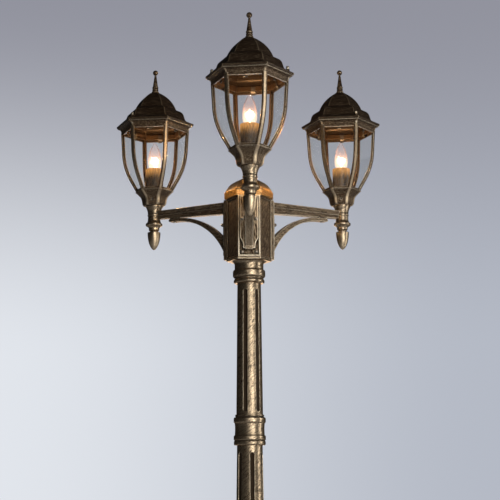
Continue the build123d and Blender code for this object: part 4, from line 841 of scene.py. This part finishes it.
class Workshop:
    """Keeps the frame, and adds and dresses pieces on it."""

    def __init__(self, frame: dict) -> None:
        """Keeps the loaded frame."""
        self.frame = frame

    def dress(self, node: str, material: bpy.types.Material) -> None:
        """Gives a node of the frame its finish.

        Args:
            node: The node's name.
            material: The finish.
        """
        piece = self.frame["nodes"][node]
        piece.data.materials.clear()
        piece.data.materials.append(material)
        log.info("dressed %s with %s", node, material.name)

    def add(
        self, name: str, shape: bmesh.types.BMesh, material: bpy.types.Material, body: str
    ) -> bpy.types.Object:
        """Makes a smooth piece from a bmesh and lets it ride on a body.

        Args:
            name: The piece's name.
            shape: Its mesh, in place. It is freed.
            material: Its finish.
            body: The body that carries it.

        Returns:
            The new piece.
        """
        for face in shape.faces:
            face.smooth = True
        mesh = bpy.data.meshes.new(name)
        shape.to_mesh(mesh)
        shape.free()
        mesh.materials.append(material)
        piece = bpy.data.objects.new(name, mesh)
        bpy.context.scene.collection.objects.link(piece)
        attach(piece, body)
        log.info("built %s on %s", name, body)
        return piece

    def cone(self, node: str) -> Cone:
        """A tapered node's outer surface."""
        low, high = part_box(node)
        return Cone(low.z, self.radius_at(node, low.z), high.z, self.radius_at(node, high.z))

    def radius_at(self, node: str, level: float) -> float:
        """Measures a node at a level.

        Args:
            node: The node's name.
            level: A level at which its mesh has points.

        Returns:
            How far the furthest of those points is from the post's axis.
        """
        piece = self.frame["nodes"][node]
        points = (piece.matrix_world @ vertex.co for vertex in piece.data.vertices)
        return max(point.xy.length for point in points if abs(point.z - level) < LEVEL_TOLERANCE)

    def joint_place(self, name: str) -> Point:
        """The pivot of a joint."""
        joint = next(j for j in self.frame["joints"] if j["name"] == name)
        return tuple(joint["pos_m"])


def spun(profile: Iterable[tuple[float, float]], centre: Point, steps: int) -> bmesh.types.BMesh:
    """Spins a half section about an upright axis.

    Args:
        profile: Radius and height of each point.
        centre: The axis, and the level that heights are counted from.
        steps: How many facets a turn has.

    Returns:
        The closed mesh.
    """
    shape = bmesh.new()
    points = [shape.verts.new((centre[0] + r, centre[1], centre[2] + h)) for r, h in profile]
    edges = [shape.edges.new(pair) for pair in zip(points, points[1:])]
    bmesh.ops.spin(
        shape,
        geom=points + edges,
        cent=centre,
        axis=(0, 0, 1),
        angle=math.tau,
        steps=steps,
        use_merge=True,
    )
    bmesh.ops.remove_doubles(shape, verts=shape.verts, dist=MERGE_DISTANCE)
    bmesh.ops.recalc_face_normals(shape, faces=shape.faces)
    return shape


@dataclass
class Post:
    """The base, the fluted shafts with their collars, and the head under the hub."""

    workshop: Workshop
    shafts: tuple[str, ...] = ("lower_shaft", "middle_shaft", "upper_shaft")
    rings: tuple[str, ...] = ("base", "lower_collar", "middle_collar", "post_head")

    def dress(self) -> None:
        """Brushes the stack with gold, and leaves the flutes dark: bare of gold, and darkened with
        painted shade.
        """
        ring = AntiqueFinish(
            "ring_antique", Stroke.HELIX, coverage=0.76, edge=0.9, twist=-50.0, across=480.0,
            along=110.0, rough=0.38,
        ).build()
        for node in self.shafts:
            shaft = AntiqueFinish(
                "shaft_antique", Stroke.HELIX, coverage=0.74, across=400.0, along=80.0, speckle=0.6,
                rough=0.40, cone=self.workshop.cone(node),
            )
            self.workshop.dress(node, shaft.build())
        for node in self.rings:
            self.workshop.dress(node, ring)


@dataclass
class Hub:
    """The wiring box on the post, its domed cap, and what is inside."""

    workshop: Workshop
    turn: float = HEX_STEP / 2
    # Shares of the cap's height between which its gold fades into painted shade towards the top
    shaded_top_starts: float = 0.22
    shaded_top_ends: float = 0.66
    fixings: tuple[str, ...] = ("tie_rod", "tie_rod_nuts", "arm_screws")

    def dress(self) -> None:
        """Dark panels with gold edges, and plain inner pieces."""
        place = Place(turn=self.turn)
        low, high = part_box("hub_cap")
        height = high.z - low.z
        panel = AntiqueFinish("hub_antique", Stroke.HELIX, coverage=0.36, edge=0.9, twist=-18.0)
        # The dome's orange gold is painted lamplight from the lanterns, and its fade towards the top is
        # painted shade
        dome = AntiqueFinish(
            "hub_cap_antique", Stroke.LEVEL, coverage=0.9, ground=0.3, edge=0.3, across=260.0,
            along=25.0, tone=GOLD_WITH_PAINTED_LAMPLIGHT,
            shaded_top=(low.z + self.shaded_top_starts * height, low.z + self.shaded_top_ends * height),
        )
        nut = AntiqueFinish("nut_antique", Stroke.LEVEL, coverage=0.8)
        self.workshop.dress("hub_body", panel.build(place))
        self.workshop.dress("hub_cap", dome.build(place))
        self.workshop.dress("hub_cap_nut", nut.build())
        steel = FIXING_STEEL.build()
        for node in self.fixings:
            self.workshop.dress(node, steel)
        self.workshop.dress("terminal_block", TERMINAL_PLASTIC.build())
        self.workshop.dress("lantern_leads", LEAD_RUBBER.build())


@dataclass
class Arm:
    """One bracket with its brace, its neck and the acorn under it."""

    workshop: Workshop
    side: str
    centre: Point
    plate_reach: float = 0.063
    pendant_radius: float = 0.0169
    pendant_length: float = 0.048
    pendant_neck: float = 0.0104
    belly_power: float = 2.2
    belly_root: float = 0.62
    shoulder_share: float = 0.94
    shoulder_drop: float = 0.0008
    stud: float = 0.0137
    stud_radius: float = 0.004
    rings: int = 36
    facets: int = 56
    dent_size: float = 0.0036
    dent_depth: float = 0.0003
    dent_level: float = 0.65

    @property
    def angle(self) -> float:
        """The direction in which the arm points."""
        return math.atan2(self.centre[1], self.centre[0])

    def build(self) -> None:
        """Makes the acorn with its hammered skin."""
        finish = AntiqueFinish(
            "pendant_antique", Stroke.HELIX, coverage=0.95, ground=0.4, edge=0.4, speckle=0.35,
            rough=0.42,
        )
        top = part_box(f"{self.side}_pendant")[1].z - self.stud
        stud = [(0.0, self.stud), (self.stud_radius, self.stud), (self.stud_radius, 0.0)]
        shoulder = [
            (self.pendant_neck, 0.0),
            (self.shoulder_share * self.pendant_radius, -self.shoulder_drop),
        ]
        shares = [i / self.rings for i in range(1, self.rings + 1)]
        belly = [(self.belly_radius(share), -share * self.pendant_length) for share in shares]
        shape = spun(stud + shoulder + belly, (self.centre[0], self.centre[1], top), self.facets)
        material = finish.build(Place(self.centre, self.angle))
        piece = self.workshop.add(f"{self.side}_hammered_pendant", shape, material, "post")
        self.hammer(piece)
        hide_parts(f"{self.side}_pendant")

    def belly_radius(self, share: float) -> float:
        """The acorn's radius at a share of its length."""
        return self.pendant_radius * (1 - share**self.belly_power) ** self.belly_root

    def hammer(self, piece: bpy.types.Object) -> None:
        """Presses shallow dents into a piece.

        Args:
            piece: The piece to dent.
        """
        dents = bpy.data.textures.new("hammer_dents", "VORONOI")
        dents.noise_scale = self.dent_size
        dents.distance_metric = "DISTANCE"
        press = piece.modifiers.new("hammered", "DISPLACE")
        press.texture = dents
        press.texture_coords = "LOCAL"
        press.strength = -self.dent_depth
        press.mid_level = self.dent_level

    def dress(self) -> None:
        """Brushes the bracket along its length and its neck round about."""
        along = Place(turn=self.angle)
        bracket = AntiqueFinish(
            "arm_antique", Stroke.ALONG, coverage=0.42, across=800.0, along=60.0, edge_width=0.0032,
            plate=self.plate_reach,
        )
        brace = AntiqueFinish(
            "brace_antique", Stroke.ALONG, coverage=0.6, edge=0.9, across=800.0, along=80.0,
            edge_width=0.0028,
        )
        neck = AntiqueFinish(
            "neck_antique", Stroke.HELIX, coverage=0.76, ground=0.1, edge=0.9, twist=-40.0,
            speckle=0.4, rough=0.36,
        )
        self.workshop.dress(f"{self.side}_arm", bracket.build(along))
        self.workshop.dress(f"{self.side}_brace", brace.build(along))
        self.workshop.dress(f"{self.side}_neck", neck.build(Place(self.centre, self.angle)))


@dataclass(frozen=True)
class WireRing:
    """One ring of the filament: its radius, its height and how many hairpins it has."""

    radius: float
    height: float
    hairpins: int


@dataclass
class Lantern:
    """One six-sided lantern with its cup, cage, panes, roof and lit bulb."""

    workshop: Workshop
    side: str
    centre: Point
    stem_foot: float = 0.0062
    stem_flare: float = 0.8
    stem_flare_level: float = 0.003
    stem_top: float = 0.0022
    stem_top_level: float = 0.010
    stem_height: float = 0.017
    stem_tip: float = 0.001
    stem_sink: float = 0.001
    stem_facets: int = 20
    filament_level: float = 0.026
    wire_rings: tuple[WireRing, ...] = (
        WireRing(0.003, 0.019, 3),
        WireRing(0.006, 0.0175, 4),
        WireRing(0.0085, 0.014, 4),
        WireRing(0.0105, 0.009, 4),
    )
    wire_radius: float = 0.00035
    wire_facets: int = 6
    support_sink: float = 0.003
    lamp_watts: float = 2.5
    lamp_radius: float = 0.012
    lamp_share: float = 0.45

    @property
    def place(self) -> Place:
        """The lantern's axis and turn."""
        angle = math.atan2(self.centre[1], self.centre[0])
        return Place(self.centre, angle + LANTERN_TURN)

    def build(self) -> None:
        """Makes what shows inside the bulb, and its light."""
        low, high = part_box(f"{self.side}_bulb_glass")
        foot = (self.centre[0], self.centre[1], low.z)
        body = f"{self.side}_bulb"
        stem = self.workshop.add(
            f"{self.side}_bulb_stem", self.stem(foot), STEM_GLASS.build(self.place), body
        )
        coil = self.workshop.add(
            f"{self.side}_filament", self.filament(foot), FilamentFinish().build(self.place), body
        )
        self.light(Vector((foot[0], foot[1], low.z + self.lamp_share * (high.z - low.z))), body)

    def stem(self, foot: Point) -> bmesh.types.BMesh:
        """Makes the glass stem that carries the wire.

        Args:
            foot: The middle of the glass's foot.

        Returns:
            The stem's mesh.
        """
        profile = [
            (0.0, -self.stem_sink),
            (self.stem_foot, -self.stem_sink),
            (self.stem_foot * self.stem_flare, self.stem_flare_level),
            (self.stem_top, self.stem_top_level),
            (self.stem_top, self.stem_height - self.stem_tip),
            (0.0, self.stem_height),
        ]
        return spun(profile, foot, self.stem_facets)

    def filament(self, foot: Point) -> bmesh.types.BMesh:
        """Makes the rings of hot wire on their supports.

        Args:
            foot: The middle of the glass's foot.

        Returns:
            The wire's mesh.
        """
        shape = bmesh.new()
        supports = []
        for ring in self.wire_rings:
            posts = self.uprights(foot, ring)
            supports += [posts[0][0], posts[ring.hairpins][0]]
            for step, (bottom, top) in enumerate(posts):
                following = posts[(step + 1) % len(posts)]
                self.wire_between(shape, bottom, top)
                if step % 2:
                    self.wire_between(shape, bottom, following[0])
                else:
                    self.wire_between(shape, top, following[1])
        head = Vector((foot[0], foot[1], foot[2] + self.stem_height - self.support_sink))
        for support in supports:
            self.wire_between(shape, head, support)
        return shape

    def uprights(self, foot: Point, ring: WireRing) -> list[tuple[Vector, Vector]]:
        """Places the upright lengths of one ring of wire.

        Args:
            foot: The middle of the glass's foot.
            ring: The ring's sizes.

        Returns:
            The lower and upper end of each.
        """
        middle = Vector(foot) + Vector((0.0, 0.0, self.filament_level))
        half = Vector((0.0, 0.0, ring.height / 2))
        count = 2 * ring.hairpins
        ends = []
        for step in range(count):
            turn = math.tau * step / count
            out = Vector((ring.radius * math.cos(turn), ring.radius * math.sin(turn), 0.0))
            ends.append((middle + out - half, middle + out + half))
        return ends

    def wire_between(self, shape: bmesh.types.BMesh, start: Vector, end: Vector) -> None:
        """Adds a straight length of wire.

        Args:
            shape: The mesh that takes it.
            start: Its first end.
            end: Its other end.
        """
        span = end - start
        turn = span.to_track_quat("Z", "Y").to_matrix().to_4x4()
        bmesh.ops.create_cone(
            shape,
            cap_ends=True,
            segments=self.wire_facets,
            radius1=self.wire_radius,
            radius2=self.wire_radius,
            depth=span.length,
            matrix=Matrix.Translation((start + end) / 2) @ turn,
        )

    def light(self, spot: Vector, body: str) -> None:
        """Puts the lamp's light in the bulb, so that it moves with it.

        Args:
            spot: Where the light is.
            body: The bulb's body.
        """
        data = bpy.data.lights.new(f"{self.side}_lamp", "POINT")
        data.energy = self.lamp_watts
        data.color = LAMP_WARM[:3]
        data.shadow_soft_size = self.lamp_radius
        lamp = bpy.data.objects.new(f"{self.side}_lamp", data)
        lamp.location = spot
        lamp.visible_camera = False
        bpy.context.scene.collection.objects.link(lamp)
        lamp.parent = self.workshop.frame["bodies"][body]

    def castings(self) -> dict[str, Finish]:
        """The finish of each cast piece, by the end of its node's name."""
        return {
            "cup": AntiqueFinish(
                "cup_antique", Stroke.LEVEL, coverage=0.3, hips=1.0, hip_width=0.004, across=800.0,
                along=260.0, edge_round=0.004,
            ),
            "cage": AntiqueFinish(
                "cage_antique", Stroke.LEVEL, coverage=0.26, edge=0.9, hips=0.85, hip_width=0.0026,
                across=850.0, along=160.0, edge_round=0.002, hollow=True,
            ),
            "roof": AntiqueFinish(
                "roof_antique", Stroke.LEVEL, coverage=0.0, edge=0.6, hips=0.4, across=900.0,
                along=60.0, paint=ROOF_BROWN, hollow=True,
            ),
            "roof_knobs": AntiqueFinish("knob_antique", Stroke.LEVEL, coverage=0.4),
            "finial": AntiqueFinish("finial_antique", Stroke.LEVEL, coverage=0.3, edge=0.7),
        }

    def fittings(self) -> dict[str, Finish]:
        """The finish of each pane, fixing and piece of the lamp, by the end of its node's name."""
        low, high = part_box(f"{self.side}_bulb_glass")
        sleeve_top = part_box(f"{self.side}_sleeve")[1].z
        return {
            "lampholder": HOLDER_CERAMIC,
            "fixings": CLIP_STEEL,
            "bulb_cap": BULB_BRASS,
            "panes": PaneFinish(),
            "sleeve": SleeveFinish("sleeve_bronze", sleeve_top - self.centre[2]),
            "bulb_glass": BulbFinish("bulb_glass", low.z - self.centre[2], high.z - low.z),
        }

    def dress(self) -> None:
        """Gives each of the lantern's nodes its finish, and lets light through its glass."""
        for name, finish in (self.castings() | self.fittings()).items():
            self.workshop.dress(f"{self.side}_{name}", finish.build(self.place))
        for name in ("panes", "bulb_glass"):
            self.workshop.frame["nodes"][f"{self.side}_{name}"].visible_shadow = False


@dataclass(frozen=True)
class SoftBox:
    """A rectangular studio lamp, and whether the camera sees it."""

    name: str
    watts: float
    width: float
    height: float
    place: Point
    seen: bool = True


@dataclass
class Studio:
    """The floor, the graded background, the lamps and the camera."""

    lens: float = 90.66
    sensor: float = 36.0
    sight: float = 200.0
    camera_place: Point = (-0.0349, -3.1284, 1.1044)
    pitch: float = math.radians(10.3745)
    yaw: float = 0.012
    roll: float = 0.0046
    floor_radius: float = 14.0
    floor_facets: int = 96
    top_colour: Colour = (0.285, 0.290, 0.340, 1.0)
    left_colour: Colour = (0.760, 0.790, 0.840, 1.0)
    right_colour: Colour = (0.460, 0.490, 0.560, 1.0)
    side_span: Range = (-0.21, 0.21)
    height_span: Range = (0.087, 0.375)
    ambient: Colour = (0.0120, 0.0112, 0.0105, 1.0)
    daylight: Colour = (0.21, 0.21, 0.22, 1.0)
    mirror_span: Range = (0.4, 1.0)
    mirror_share: Range = (0.004, 0.03)
    lamp_aim: Point = (0.0, 0.0, 1.6)
    lamps: tuple[SoftBox, ...] = (
        SoftBox("key", 66.0, 1.3, 2.6, (1.30, -2.70, 1.75)),
        SoftBox("side", 28.0, 0.4, 2.4, (2.8, -0.10, 1.6)),
        SoftBox("fill", 12.0, 0.7, 2.2, (0.10, -3.40, 1.75)),
        SoftBox("back", 24.0, 0.8, 2.4, (0.0, 3.0, 1.8), seen=False),
    )

    def build_floor(self) -> None:
        """Lays a round pale floor under the base."""
        shape = bmesh.new()
        bmesh.ops.create_circle(
            shape, cap_ends=True, segments=self.floor_facets, radius=self.floor_radius
        )
        mesh = bpy.data.meshes.new("floor")
        shape.to_mesh(mesh)
        shape.free()
        mesh.materials.append(FloorFinish().build())
        floor = bpy.data.objects.new("floor", mesh)
        bpy.context.scene.collection.objects.link(floor)

    def rays(self, graph: Graph, kind: str) -> Value:
        """1 for rays of a kind, and 0 for others."""
        return graph.value("ShaderNodeLightPath", output=f"Is {kind} Ray")

    def build_world(self) -> None:
        """Grades the background, and keeps what the metal mirrors of the room dim."""
        world = bpy.data.worlds.new("studio")
        world.use_nodes = True
        graph = Graph(world.node_tree)
        side, depth, height = graph.parts(graph.value("ShaderNodeTexCoord", output="Generated"))
        low = graph.blend(side.ease(*self.side_span), self.left_colour, self.right_colour)
        wall = graph.blend(height.ease(*self.height_span, 1.0, 0.0), self.top_colour, low)
        sight = self.rays(graph, "Camera") + self.rays(graph, "Transmission")
        gloss = self.rays(graph, "Glossy") * depth.ease(*self.mirror_span, *self.mirror_share)
        mirrored = graph.blend((sight + gloss).clamp(), self.ambient, wall)
        colour = graph.blend(self.rays(graph, "Diffuse"), mirrored, self.daylight)
        background = graph.node("ShaderNodeBackground", {}, {"Color": colour, "Strength": 1.0})
        graph.node("ShaderNodeOutputWorld", {}, {"Surface": background.outputs[0]})
        bpy.context.scene.world = world

    def build_lamp(self, box: SoftBox) -> None:
        """Hangs a soft box that points at the upper part of the light.

        Args:
            box: The lamp's sizes and place.
        """
        data = bpy.data.lights.new(box.name, "AREA")
        data.shape = "RECTANGLE"
        data.size = box.width
        data.size_y = box.height
        data.energy = box.watts
        lamp = bpy.data.objects.new(box.name, data)
        lamp.location = box.place
        lamp.rotation_mode = "QUATERNION"
        lamp.rotation_quaternion = (Vector(self.lamp_aim) - Vector(box.place)).to_track_quat("-Z", "Y")
        bpy.context.scene.collection.objects.link(lamp)
        if not box.seen:
            lamp.visible_camera = False
            lamp.visible_transmission = False

    def build_camera(self) -> None:
        """Stands the camera where the photograph was taken from."""
        data = bpy.data.cameras.new("camera")
        data.lens = self.lens
        data.sensor_width = self.sensor
        data.clip_end = self.sight
        camera = bpy.data.objects.new("camera", data)
        tilt = Matrix.Rotation(math.pi / 2 + self.pitch, 4, "X")
        turn = Matrix.Rotation(-self.yaw, 4, "Z")
        lean = Matrix.Rotation(-self.roll, 4, "Z")
        camera.matrix_world = Matrix.Translation(self.camera_place) @ turn @ tilt @ lean
        bpy.context.scene.collection.objects.link(camera)
        bpy.context.scene.camera = camera

    def build(self) -> None:
        """Sets the whole studio up."""
        self.build_floor()
        self.build_world()
        for box in self.lamps:
            self.build_lamp(box)
        self.build_camera()
        bpy.context.scene.view_settings.view_transform = "Standard"
        log.info("set up the studio with %d lamps", len(self.lamps))


def main() -> None:
    """Builds and dresses the light, piece by piece, and then its studio."""
    logging.basicConfig(level=logging.INFO, format="%(message)s")
    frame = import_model()
    workshop = Workshop(frame)
    Post(workshop).dress()
    Hub(workshop).dress()
    for side in SIDES:
        centre = workshop.joint_place(f"{side}_lantern_turn")
        arm = Arm(workshop, side, centre)
        arm.build()
        arm.dress()
        lantern = Lantern(workshop, side, centre)
        lantern.build()
        lantern.dress()
    Studio().build()


if __name__ == "__main__":
    main()
